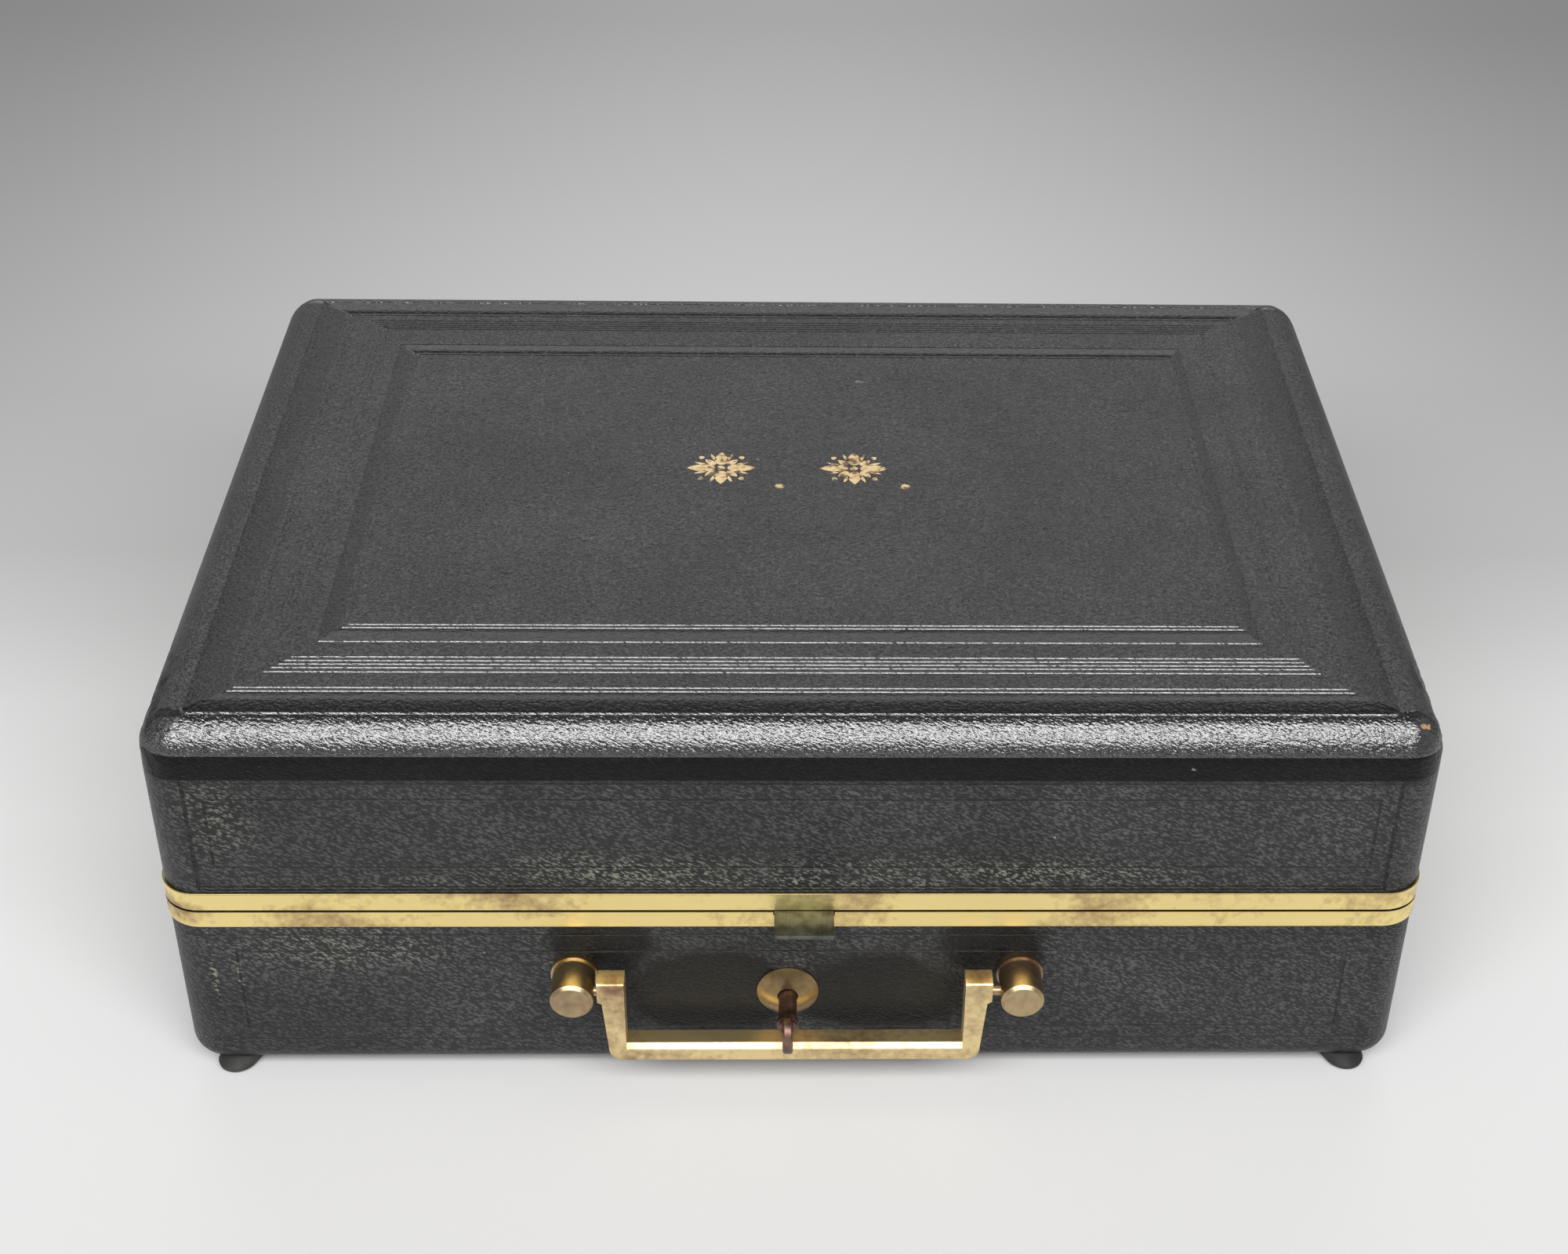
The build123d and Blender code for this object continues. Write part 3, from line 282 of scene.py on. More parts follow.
def tooled_lines(nodes, links, panels):
    """How much each point lies in a pressed line: panels are (end, low, high) rectangles on the four faces.

    On the front and back a rectangle reaches to that distance from the corners along X, on the ends along Y.
    """
    where = nodes.new("ShaderNodeTexCoord")
    parts = nodes.new("ShaderNodeSeparateXYZ")
    links.new(where.outputs["Object"], parts.inputs["Vector"])
    x = sums(nodes, links, "ABSOLUTE", parts.outputs["X"])
    y = sums(nodes, links, "ABSOLUTE", sums(nodes, links, "SUBTRACT", parts.outputs["Y"], case_back))
    in_from_end = sums(nodes, links, "SUBTRACT", half_width, x)
    in_from_front = sums(nodes, links, "SUBTRACT", half_depth, y)
    along = sums(nodes, links, "MAXIMUM", in_from_end, in_from_front)
    in_from_face = sums(nodes, links, "MINIMUM", in_from_end, in_from_front)
    near_face = sums(nodes, links, "LESS_THAN", in_from_face, 0.0012)
    pressed = None
    for end, low, high in panels:
        middle = (low + high) / 2
        height = sums(nodes, links, "ABSOLUTE", sums(nodes, links, "SUBTRACT", parts.outputs["Z"], middle))
        up = sums(nodes, links, "SUBTRACT", height, (high - low) / 2)
        out = sums(nodes, links, "SUBTRACT", end, along)
        away = sums(nodes, links, "ABSOLUTE", sums(nodes, links, "MAXIMUM", up, out))
        line = nodes.new("ShaderNodeMapRange")
        line.interpolation_type = "SMOOTHSTEP"
        line.inputs["From Max"].default_value = 0.00045
        line.inputs["To Min"].default_value = 1.0
        line.inputs["To Max"].default_value = 0.0
        links.new(away, line.inputs["Value"])
        pressed = line.outputs["Result"] if pressed is None else sums(nodes, links, "MAXIMUM", pressed,
                                                                    line.outputs["Result"])
    return sums(nodes, links, "MULTIPLY", pressed, near_face)


def wear_and_shade_spots(nodes, links, spots):
    """Spots of wear and tarnish, and of painted shade: each spot is its middle, its reach along each axis and how
    strongly it counts.
    """
    where = nodes.new("ShaderNodeTexCoord")
    whole = None
    for middle, reach, strength in spots:
        lay = nodes.new("ShaderNodeMapping")
        lay.vector_type = "TEXTURE"
        lay.inputs["Location"].default_value = middle
        lay.inputs["Scale"].default_value = reach
        links.new(where.outputs["Object"], lay.inputs["Vector"])
        length = nodes.new("ShaderNodeVectorMath")
        length.operation = "LENGTH"
        links.new(lay.outputs["Vector"], length.inputs[0])
        fade = nodes.new("ShaderNodeMapRange")
        fade.interpolation_type = "SMOOTHSTEP"
        fade.inputs["To Min"].default_value = strength
        fade.inputs["To Max"].default_value = 0.0
        links.new(length.outputs["Value"], fade.inputs["Value"])
        whole = fade.outputs["Result"] if whole is None else sums(nodes, links, "MAXIMUM", whole,
                                                                fade.outputs["Result"])
    return whole


def on_front(x, z, wide, high, strength):
    """A spot on the front face, for scuffs and painted shade: its place, its reach along and up, and its strength.
    """
    return (x, front_face, z), (wide, 0.02, high), strength


def by_height(nodes, links, levels):
    """A value that changes with height: levels are (height, value) stops."""
    where = nodes.new("ShaderNodeTexCoord")
    parts = nodes.new("ShaderNodeSeparateXYZ")
    links.new(where.outputs["Object"], parts.inputs["Vector"])
    climb = nodes.new("ShaderNodeMapRange")
    climb.inputs["From Min"].default_value = levels[0][0]
    climb.inputs["From Max"].default_value = levels[-1][0]
    links.new(parts.outputs["Z"], climb.inputs["Value"])
    run = levels[-1][0] - levels[0][0]
    return shades(nodes, links, climb.outputs["Result"],
                  *[((at - levels[0][0]) / run, (value,) * 3) for at, value in levels])


def goatskin(name, panels=(), rubbed=(), bare=(), dark_wear_and_shade=(), levels=(), pebbles=1.0, gloss=0.36, wax=0.28,
             body=1.5, colour=(0.070, 0.0715, 0.0725)):
    """Black goatskin: pebbles with creases between, a straight run to the grain, tooling, scuffs and wear.

    Bare spots show brown hide; darkened spots go near black, as crumbled hide and as painted shade behind the
    handle.
    Levels are (height, shade) stops that paint shade in bands round the cover; the creases carry painted shade
    and the pebbles' tops painted light.
    """
    made, nodes, links, shader = new_finish(name)
    cells = grain(nodes, links, 1050, 1.0, (0.6, 1, 1.35), (0, 0.45, 0), "ShaderNodeTexVoronoi")
    cells.feature = "SMOOTH_F1"
    cells.inputs["Smoothness"].default_value = 0.25
    creases = grain(nodes, links, 800, 4, (0.5, 1, 1.6), (0.0, 0.5, 0.15))
    drift = grain(nodes, links, 24, 5)
    fine = grain(nodes, links, 2400, 3)
    hills = sums(nodes, links, "SUBTRACT", 1.0, cells.outputs["Distance"])
    height = sums(nodes, links, "MULTIPLY_ADD", hills, 0.6,
                  sums(nodes, links, "MULTIPLY", creases.outputs["Fac"], 0.8))
    height = sums(nodes, links, "MULTIPLY_ADD", fine.outputs["Fac"], 0.16, height)
    pale = tuple(value * 1.35 for value in colour)
    dark = tuple(value * 0.7 for value in colour)
    base = shades(nodes, links, drift.outputs["Fac"], (0.3, dark), (0.5, colour), (0.74, pale))
    # Painted shade in the creases and painted light on the pebbles' tops, multiplied into the colour.
    crease_shade_and_top_light = shades(nodes, links, height, (0.58, (0.25,) * 3), (0.78, (0.88,) * 3), (1.0, (1.20,) * 3))
    base = lay_over(nodes, links, 1.0, base, crease_shade_and_top_light, "MULTIPLY")
    if levels:
        base = lay_over(nodes, links, 1.0, base, by_height(nodes, links, levels), "MULTIPLY")
    specks = grain(nodes, links, 330, 2)
    speck = shades(nodes, links, specks.outputs["Fac"], (0.77, (0, 0, 0)), (0.80, (0.5,) * 3))
    base = lay_over(nodes, links, speck, base, (0.30, 0.31, 0.27))
    if rubbed:
        broken = shades(nodes, links, height, (0.62, (0, 0, 0)), (0.88, (1, 1, 1)))
        patches = shades(nodes, links, grain(nodes, links, 120, 4, (0.4, 1, 1)).outputs["Fac"],
                         (0.30, (0, 0, 0)), (0.54, (1, 1, 1)))
        amount = sums(nodes, links, "MULTIPLY", wear_and_shade_spots(nodes, links, rubbed), broken)
        amount = sums(nodes, links, "MULTIPLY", amount, patches)
        base = lay_over(nodes, links, amount, base, (0.24, 0.25, 0.19))
    # Darkened spots, crumbled hide and painted shade, laid over as near black.
    if dark_wear_and_shade:
        soft = grain(nodes, links, 70, 3)
        wear_and_shade_darkening = sums(nodes, links, "ADD", wear_and_shade_spots(nodes, links, dark_wear_and_shade),
                    sums(nodes, links, "MULTIPLY_ADD", soft.outputs["Fac"], 0.8, -0.4))
        wear_and_shade_darkening = shades(nodes, links, wear_and_shade_darkening, (0.2, (0, 0, 0)), (0.6, (1, 1, 1)))
        base = lay_over(nodes, links, sums(nodes, links, "MULTIPLY", wear_and_shade_darkening, 0.92), base, (0.003, 0.003, 0.003))
    if bare:
        torn = grain(nodes, links, 520, 4)
        edge = sums(nodes, links, "ADD", wear_and_shade_spots(nodes, links, bare),
                    sums(nodes, links, "MULTIPLY_ADD", torn.outputs["Fac"], 0.9, -0.45))
        open_hide = shades(nodes, links, edge, (0.56, (0, 0, 0)), (0.64, (1, 1, 1)))
        base = lay_over(nodes, links, open_hide, base, (0.42, 0.22, 0.09))
    lines = None
    if panels:
        lines = tooled_lines(nodes, links, panels)
        base = lay_over(nodes, links, sums(nodes, links, "MULTIPLY", lines, 0.6), base, (0.008, 0.008, 0.008))
    links.new(base, shader.inputs["Base Color"])
    links.new(sums(nodes, links, "MULTIPLY_ADD", creases.outputs["Fac"], 0.24, gloss - 0.12),
              shader.inputs["Roughness"])
    shader.inputs["Specular IOR Level"].default_value = wax
    shader.inputs["IOR"].default_value = body
    under = relief(nodes, links, shader, height, 0.00045 * pebbles)
    if lines is not None:
        relief(nodes, links, shader, sums(nodes, links, "MULTIPLY", lines, -1.0), 0.0004, 1.0, under)
    return made


body_panels = ((0.0050, 0.0150, 0.0560), (0.0195, 0.0198, 0.0497))
body_rubbed = (on_front(-0.130, 0.052, 0.048, 0.014, 0.8),
               on_front(-0.168, 0.044, 0.0012, 0.022, 1.5),
               on_front(-0.1605, 0.042, 0.0012, 0.022, 1.5),
               on_front(-0.066, 0.052, 0.016, 0.012, 0.45),
               on_front(0.066, 0.052, 0.014, 0.012, 0.4),
               on_front(-0.002, 0.040, 0.016, 0.014, 0.35),
               on_front(0.0, 0.020, 0.06, 0.010, 0.25))
# Painted shade: the hide behind the handle and round its posts is painted darker.
body_painted_shade = (on_front(-0.056, 0.052, 0.024, 0.020, 1.3),
               on_front(0.056, 0.052, 0.024, 0.020, 1.3),
               on_front(-0.024, 0.033, 0.042, 0.027, 1.3),
               on_front(0.024, 0.033, 0.044, 0.027, 1.3))
# The skin is painted darker towards the bottom round and a little under the rim: painted shade.
body_hide = goatskin("body_goatskin", body_panels, rubbed=body_rubbed, dark_wear_and_shade=body_painted_shade,
                     levels=((leather_bottom, 0.30), (0.012, 0.9), (0.045, 1.05), (body_skin_top, 0.85)))
bottom_radius = 0.007
bottom_steps = 8
rings = []
for step in range(bottom_steps + 1):
    angle = math.radians(90 * step / bottom_steps)
    inset = bottom_radius * (1 - math.sin(angle))
    rings.append((plan_ring((inset,) * 4, corner_radius - inset),
                  level(leather_bottom + bottom_radius * (1 - math.cos(angle))), 0))
rings.append((plan_ring((0,) * 4, corner_radius), level(body_skin_top - open_edge), 0))
rings.append((plan_ring((pared,) * 4, corner_radius), level(body_skin_top), 0))
underside = raise_cover("body_skin", rings[::-1], (body_hide,))


def thicken(cover):
    """Gives a cover the skin's own thickness, inwards."""
    bpy.ops.object.select_all(action="DESELECT")
    cover.select_set(True)
    bpy.context.view_layer.objects.active = cover
    wall = cover.modifiers.new("skin", "SOLIDIFY")
    wall.thickness = skin - skin_gap
    wall.offset = -1.0
    bpy.ops.object.modifier_apply(modifier=wall.name)


thicken(underside)
# The keyhole goes through the skin behind the escutcheon: the barrel's hole and the slot for the bit.
keyhole_x, keyhole_z = -0.0022, 0.0344
keyhole_radius, keyhole_half, keyhole_drop = 0.0031, 0.0012, 0.0072
bpy.ops.object.select_all(action="DESELECT")
bpy.ops.mesh.primitive_cylinder_add(vertices=32, radius=keyhole_radius, depth=0.01,
                                    rotation=(math.radians(90), 0, 0),
                                    location=(keyhole_x, front_face, keyhole_z))
punch = bpy.context.object
bpy.ops.object.mode_set(mode="EDIT")
mesh = bmesh.from_edit_mesh(punch.data)
for vert in mesh.verts:
    share = abs(vert.co.x) / keyhole_radius
    if vert.co.y < -keyhole_radius * 0.9:
        if share > 0.1:
            vert.co.x = math.copysign(keyhole_half, vert.co.x)
        if share < 0.3:
            vert.co.y = -keyhole_drop
bmesh.update_edit_mesh(punch.data)
bpy.ops.object.mode_set(mode="OBJECT")
cut = underside.modifiers.new("keyhole", "BOOLEAN")
cut.object = punch
bpy.ops.object.select_all(action="DESELECT")
underside.select_set(True)
bpy.context.view_layer.objects.active = underside
bpy.ops.object.modifier_apply(modifier=cut.name)
bpy.data.objects.remove(punch)
bpy.ops.object.shade_smooth_by_angle(angle=math.radians(40))
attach(underside, "case")
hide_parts("body_leather")

# ---- Lid's leather ----
# The lid's goatskin in one piece, rounded round the top, with tooled frames on the top and a pair
# of panels on each face. It is pasted on, and polished smooth in two channels and on the round.
# Along the front under the round runs a band of painted shade.
lid_skin_bottom = 0.0719
lid_face_top = 0.1122        # here the tooled face ends and the painted shade band under the round starts
lid_top = 0.1303
top_radius = 0.0135
lid_panels = ((0.0120, 0.0728, 0.1124), (0.0125, 0.0740, 0.1109), (0.0175, 0.0812, 0.1054))
lid_rubbed = (on_front(-0.05, 0.080, 0.06, 0.009, 1.0),
              on_front(0.05, 0.079, 0.09, 0.008, 1.0),
              on_front(0.0, 0.076, 0.18, 0.004, 0.9),
              on_front(-0.16, 0.100, 0.016, 0.025, 0.6))
lid_bare = (((-0.1755, -0.1195, 0.1230), (0.0042, 0.004, 0.0032), 1.0),
            ((-0.1785, -0.1180, 0.1215), (0.0025, 0.004, 0.0025), 0.9),
            ((0.1750, -0.1165, 0.1268), (0.0085, 0.0035, 0.0024), 1.0),
            ((0.1745, -0.1215, 0.1190), (0.003, 0.003, 0.002), 0.7))
crumbled = [((side * 0.1790, -0.098, 0.1250), (0.010, 0.034, 0.0095), 1.25) for side in (-1, 1)]
top_rubbed = (((0.0219, 0.0712, 0.130), (0.0032, 0.0016, 0.01), 3.0),
              ((-0.061, -0.027, 0.130), (0.010, 0.0006, 0.01), 2.0),
              ((-0.012, 0.020, 0.130), (0.0012, 0.0012, 0.01), 2.0),
              ((0.072, -0.052, 0.130), (0.007, 0.0005, 0.01), 1.5))
# The face is painted darker towards its top, and the band under the round is painted near black: painted shade
# under the round.
lid_hides = (
    goatskin("lid_goatskin", lid_panels, rubbed=lid_rubbed, bare=lid_bare, dark_wear_and_shade=crumbled,
             levels=((lid_skin_bottom, 0.95), (0.100, 0.95), (0.1098, 0.90), (lid_face_top, 0.5))),
    goatskin("top_goatskin", rubbed=top_rubbed, dark_wear_and_shade=crumbled, pebbles=1.4, gloss=0.34, wax=0.85,
             colour=(0.056, 0.0565, 0.057)),
    goatskin("smooth_goatskin", pebbles=0.35, gloss=0.32, wax=0.6, colour=(0.010, 0.010, 0.0101)),
    goatskin("pressed_goatskin", pebbles=0.4, gloss=0.24, wax=1.0, body=1.65, colour=(0.020, 0.020, 0.020)),
    goatskin("polished_goatskin", bare=lid_bare, pebbles=0.5, gloss=0.22, wax=1.0, body=1.68,
             colour=(0.006, 0.006, 0.0062)),
    goatskin("shade_band_goatskin", bare=lid_bare, pebbles=0.6, gloss=0.34, wax=0.2, colour=(0.006, 0.006, 0.006)),
    goatskin("dulled_goatskin", pebbles=1.2, gloss=0.42, wax=0.7, colour=(0.034, 0.0342, 0.0345)),
)
of_face, of_top, of_channel, of_line, of_round, of_shade_band, of_end_channel = range(len(lid_hides))


def top_height(x, y):
    """The height of the lid's skin over a point of its plan: the round, then the flat."""
    dx = half_width - abs(x)
    dy = half_depth - abs(y)
    if dx < corner_radius and dy < corner_radius:
        inset = corner_radius - math.hypot(corner_radius - dx, corner_radius - dy)
    else:
        inset = min(dx, dy)
    inset = min(max(inset, 0.0), top_radius)
    return lid_top - top_radius + math.sqrt(top_radius ** 2 - (top_radius - inset) ** 2)


def top_ring(insets, radius, sunk=0.0):
    """A ring on the lid's top that follows its round, and may be pressed in: less on the ends than in front."""
    points = plan_ring(insets, radius)
    heights = []
    for number, (x, y) in enumerate(points):
        corner, step = divmod(number, corner_points)
        turn = math.radians(90 * (corner - 1) + 90 * step / (corner_points - 1))
        heights.append(top_height(x, y) - sunk * (1 - 0.65 * abs(math.cos(turn))))
    return points, heights


def between(first, last, share):
    """Insets part of the way from one ring to another."""
    return tuple(a + (b - a) * share for a, b in zip(first, last))


line_depth, line_half = 0.00032, 0.00028
line_corner, edge_line_corner = 0.0004, 0.0012
# Each line is its distance from the front, left, right and back, its depth, and whether a polished
# channel lies between it and the line before it.
frame_lines = (
    ((0.0080, 0.0134, 0.0140, 0.0128), 1.0, False),
    ((0.0166, 0.0236, 0.0247, 0.0211), 1.0, True),
    ((0.0183, 0.0252, 0.0263, 0.0227), 1.0, False),
    ((0.0257, 0.0321, 0.0326, 0.0266), 0.95, False),
    ((0.0277, 0.0338, 0.0340, 0.0282), 0.95, False),
    ((0.0294, 0.0354, 0.0352, 0.0298), 0.95, False),
    ((0.0311, 0.0370, 0.0364, 0.0313), 0.95, False),
    ((0.0329, 0.0386, 0.0376, 0.0328), 0.95, False),
    ((0.0404, 0.0447, 0.0473, 0.0440), 0.9, False),
    ((0.0473, 0.0504, 0.0510, 0.0498), 1.0, True),
    ((0.0489, 0.0520, 0.0526, 0.0513), 1.0, False),
)
rings = [(plan_ring((pared,) * 4, corner_radius), level(lid_skin_bottom), of_face),
         (plan_ring((0,) * 4, corner_radius), level(lid_skin_bottom + open_edge), of_face),
         (plan_ring((0,) * 4, corner_radius), level(0.095), of_face),
         (plan_ring((0,) * 4, corner_radius), level(lid_face_top), of_face)]
# The round: first even on all sides, then spreading to the first line.
# The lowest rings of the round carry the painted shade band.
even_inset, even_steps, shade_band_steps, spread_steps = 0.0048, 8, 3, 4
for step in range(even_steps):
    inset = even_inset * (step / (even_steps - 1)) ** 2
    rings.append((*top_ring((inset,) * 4, corner_radius - inset), of_shade_band if step < shade_band_steps else of_round))
start = (even_inset,) * 4
spread_to = tuple(value - line_half for value in frame_lines[0][0])
for step in range(1, spread_steps + 1):
    share = step / spread_steps
    radius = (corner_radius - even_inset) * (1 - share) + edge_line_corner * share
    rings.append((*top_ring(between(start, spread_to, share), radius), of_round))
for number, (insets, depth, channel) in enumerate(frame_lines):
    radius = line_corner if number else edge_line_corner
    if number:
        before = tuple(value - line_half for value in insets)
        for share in (0.5, 1.0):
            rings.append((*top_ring(between(last, before, share), line_corner), of_channel if channel else of_top))
    rings.append((*top_ring(insets, radius, line_depth * depth), of_line))
    last = tuple(value + line_half for value in insets)
    rings.append((*top_ring(last, radius), of_line))
field_height = lid_top - 0.0001
for further in (0.001, 0.004):
    last = tuple(value + further for value in last)
    rings.append((plan_ring(last, line_corner), level(field_height), of_top))
lid_skin = raise_cover("lid_skin", rings, lid_hides)
# On the ends the lines are shallow and keep the top's grain; the painted shade band runs along the front only.
for face in lid_skin.data.polygons:
    across = lid_skin.data.vertices[face.vertices[0]].co - lid_skin.data.vertices[face.vertices[2]].co
    on_end = abs(across.y) > abs(across.x)
    if len(face.vertices) > 4 or on_end and face.material_index in (of_line, of_round):
        face.material_index = of_top
    elif on_end and face.material_index == of_channel:
        face.material_index = of_end_channel
    elif face.material_index == of_shade_band and face.normal.y > -0.35:
        face.material_index = of_face if face.normal.z < 0.2 else of_top
# The corners in front have been knocked: there the skin has crumbled along the ends' upper edges.
# The long edges of the ends are cut up first, so that each small lump has points to move.
long_edge, long_edge_side, long_edge_low, cuts = 0.05, 0.1655, 0.09, 110
crumbled_side, crumbled_back, crumbled_low, crumbled_depth = 0.168, -0.062, 0.114, 0.0011
bpy.ops.object.select_all(action="DESELECT")
lid_skin.select_set(True)
bpy.context.view_layer.objects.active = lid_skin
bpy.ops.object.mode_set(mode="EDIT")
bpy.ops.mesh.select_all(action="DESELECT")
bpy.ops.mesh.select_mode(type="EDGE")
mesh = bmesh.from_edit_mesh(lid_skin.data)
for edge in mesh.edges:
    first, last = (vert.co for vert in edge.verts)
    near_end = min(abs(first.x), abs(last.x)) > long_edge_side and min(first.z, last.z) > long_edge_low
    if near_end and abs(first.y - last.y) > long_edge:
        edge.select_set(True)
bmesh.update_edit_mesh(lid_skin.data)
bpy.ops.mesh.subdivide(number_cuts=cuts)
mesh = bmesh.from_edit_mesh(lid_skin.data)
mesh.normal_update()
for vert in mesh.verts:
    side = abs(vert.co.x) - crumbled_side
    front = crumbled_back - vert.co.y
    up = vert.co.z - crumbled_low
    if side > 0 and front > 0 and up > 0:
        share = min(1.0, front / 0.03) * min(1.0, side / 0.004) * min(1.0, up / 0.004)
        lump = noise.noise(vert.co * 900) * 0.6 + noise.noise(vert.co * 330) * 0.6
        vert.co -= vert.normal * crumbled_depth * share * max(0.0, lump + 0.15)
bmesh.update_edit_mesh(lid_skin.data)
bpy.ops.object.mode_set(mode="OBJECT")
thicken(lid_skin)
bpy.ops.object.shade_smooth_by_angle(angle=math.radians(40))
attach(lid_skin, "lid")
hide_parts("lid_leather")

# ---- Gilt ornament ----
# Two sprigs of pointed leaves and two small lozenges, stamped hot in gold leaf in the middle of
# the lid. The gold is rubbed thin, and brown hide shows through it.
gilt_height = lid_top - 0.00005
gilt_thickness = 0.00004
leaf_taper, leaf_fullness = 0.35, 1.25
sprigs = ((-0.0235, 0.0058), (0.0185, 0.0058))
lozenges = ((-0.0049, -0.0052), (0.0345, -0.0052))


def gilt_leaf(middle, reach, start, width, turn):
    """One pointed leaf that grows out from a sprig's middle."""
    bpy.ops.object.select_all(action="DESELECT")
    bpy.ops.mesh.primitive_circle_add(vertices=24, radius=1.0, fill_type="NGON")
    leaf = bpy.context.object
    way = Matrix.Rotation(turn, 2)
    for vert in leaf.data.vertices:
        along = (vert.co.x + 1) / 2
        side = vert.co.y * width / 2 * (1 - along) ** leaf_taper * leaf_fullness
        x, y = way @ Vector((start + along * (reach - start), side))
        vert.co = (middle[0] + x, middle[1] + y + case_back, gilt_height)
    return leaf


leaves = []
for middle in sprigs:
    for i in range(4):
        turn = math.radians(90 * i)
        leaves.append(gilt_leaf(middle, 0.0096 if i % 2 else 0.0108, 0.0019, 0.0042, turn))
        leaves.append(gilt_leaf(middle, 0.0072, 0.0028, 0.0024, turn + math.radians(45)))
        leaves.append(gilt_leaf(middle, 0.0100, 0.0082, 0.0018, turn + math.radians(45)))
        for lean in (22, -22):
            leaves.append(gilt_leaf(middle, 0.0092, 0.0050, 0.0011, turn + math.radians(lean)))
    leaves.append(gilt_leaf(middle, 0.0013, -0.0013, 0.0026, 0.0))
for middle in lozenges:
    leaves.append(gilt_leaf(middle, 0.0016, -0.0016, 0.0030, 0.0))
bpy.ops.object.select_all(action="DESELECT")
for leaf in leaves:
    leaf.select_set(True)
bpy.context.view_layer.objects.active = leaves[0]
bpy.ops.object.join()
gilding = bpy.context.object
gilding.name = "gilt_ornament"
wall = gilding.modifiers.new("leaf", "SOLIDIFY")
wall.thickness = gilt_thickness
wall.offset = -1.0
bpy.ops.object.modifier_apply(modifier=wall.name)
gold, nodes, links, shader = new_finish("rubbed_gold")
wear = grain(nodes, links, 520, 5)
thin = grain(nodes, links, 150, 4)
amount = sums(nodes, links, "MULTIPLY_ADD", thin.outputs["Fac"], 0.5, wear.outputs["Fac"])
links.new(shades(nodes, links, amount, (0.62, (0.16, 0.10, 0.05)), (0.70, (0.62, 0.43, 0.20)),
                 (0.85, (0.78, 0.60, 0.33))), shader.inputs["Base Color"])
links.new(sums(nodes, links, "MULTIPLY", wear.outputs["Fac"], 0.8), shader.inputs["Metallic"])
shader.inputs["Roughness"].default_value = 0.45
relief(nodes, links, shader, wear.outputs["Fac"], 0.0001)
gilding.data.materials.append(gold)
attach(gilding, "lid")

# ---- Brass rims ----
# Two drawn brass bands with a flange over the wood, polished by handling, with brown and pink
# tarnish left in blotches and darker lines where they meet the leather.


def brass_finish(name, bright, tarnish, blotch, rough, spots=(), dirt=()):
    """Brass with a polished face, blotches of tarnish and fine rubbing marks."""
    made, nodes, links, shader = new_finish(name)
    cloud = grain(nodes, links, 46, 7, (0.5, 1, 1))
    speck = grain(nodes, links, 420, 4)
    marks = grain(nodes, links, 1800, 2, (0.05, 1, 1))
    amount = sums(nodes, links, "MULTIPLY_ADD", speck.outputs["Fac"], 0.35, cloud.outputs["Fac"])
    if spots:
        amount = sums(nodes, links, "MULTIPLY_ADD", wear_and_shade_spots(nodes, links, spots), 0.28, amount)
    halfway = tuple(a * 0.6 + b * 0.4 for a, b in zip(bright, tarnish))
    face = shades(nodes, links, amount, (blotch - 0.06, bright), (blotch + 0.05, halfway), (blotch + 0.2, tarnish))
    if dirt:
        face = lay_over(nodes, links, by_height(nodes, links, dirt), face, (0.025, 0.018, 0.012))
    links.new(face, shader.inputs["Base Color"])
    shader.inputs["Metallic"].default_value = 1.0
    links.new(sums(nodes, links, "MULTIPLY_ADD", amount, 0.3, rough - 0.15), shader.inputs["Roughness"])
    relief(nodes, links, shader, marks.outputs["Fac"], 0.00003, 0.6)
    return made


# Dirt lies along the rims' outer edges and in the seam between them.
rim_dirt = ((0.0594, 0.8), (0.0598, 0.0), (0.06495, 0.0), (0.0652, 1.0),
            (0.0658, 1.0), (0.06605, 0.0), (0.0714, 0.0), (lid_skin_bottom, 0.7))
rim_spots = (((-0.176, -0.122, 0.066), (0.02, 0.02, 0.01), 1.0),)
rim_brass = brass_finish("bright_brass", (0.94, 0.76, 0.33), (0.36, 0.22, 0.12), 0.74, 0.30, rim_spots, rim_dirt)
aged_brass = brass_finish("aged_brass", (0.50, 0.37, 0.18), (0.20, 0.12, 0.07), 0.62, 0.38)
finish_nodes(rim_brass, "body_frame", "lid_frame")

# ---- Hinges ----
# Two brass butt hinges with five knuckles let into the back rims, turning on steel-hard brass pins
# and fixed with countersunk screws.
finish_nodes(aged_brass, "hinge_leaf_body_left", "hinge_leaf_body_right", "hinge_leaf_lid_left",
             "hinge_leaf_lid_right", "hinge_pin_left", "hinge_pin_right", "hinge_screws_body", "hinge_screws_lid")

# ---- Handle ----
# A cast and filed brass bail on two turned posts; the posts' studs go through the front wall to
# washers and nuts inside. The grip is bright on top and browned where fingers don't reach.
bail_spots = [((side * 0.052, -0.131, 0.046), (0.007, 0.01, 0.006), 0.9) for side in (-1, 1)]
bail_brass = brass_finish("bail_brass", (0.86, 0.69, 0.37), (0.30, 0.18, 0.11), 0.69, 0.42, bail_spots)
post_brass = brass_finish("post_brass", (0.50, 0.38, 0.21), (0.27, 0.18, 0.13), 0.66, 0.32)
finish_nodes(bail_brass, "handle_bail")
finish_nodes(post_brass, "handle_post_left", "handle_post_right", "handle_pivot_pin_left",
             "handle_pivot_pin_right")
finish_nodes(aged_brass, "handle_washers", "handle_nuts")

# ---- Lock, key and hasp ----
# A domed brass escutcheon, a steel lock with a sliding bolt, a browned steel key, and a steel hasp
# screwed under the lid whose tongue lifts it.
boss_brass = brass_finish("boss_brass", (0.33, 0.235, 0.11), (0.15, 0.09, 0.05), 0.62, 0.26)
finish_nodes(boss_brass, "escutcheon")
key_steel = steel_finish("key_steel", (0.09, 0.05, 0.038), (0.25, 0.155, 0.12), 0.44)
worn_steel = steel_finish("worn_steel", (0.045, 0.050, 0.045), (0.15, 0.16, 0.14), 0.50, (1, 0.06, 1), 0.00005)
finish_nodes(key_steel, "key")
finish_nodes(worn_steel, "hasp", "lock_case", "lock_cover", "lock_bolt")

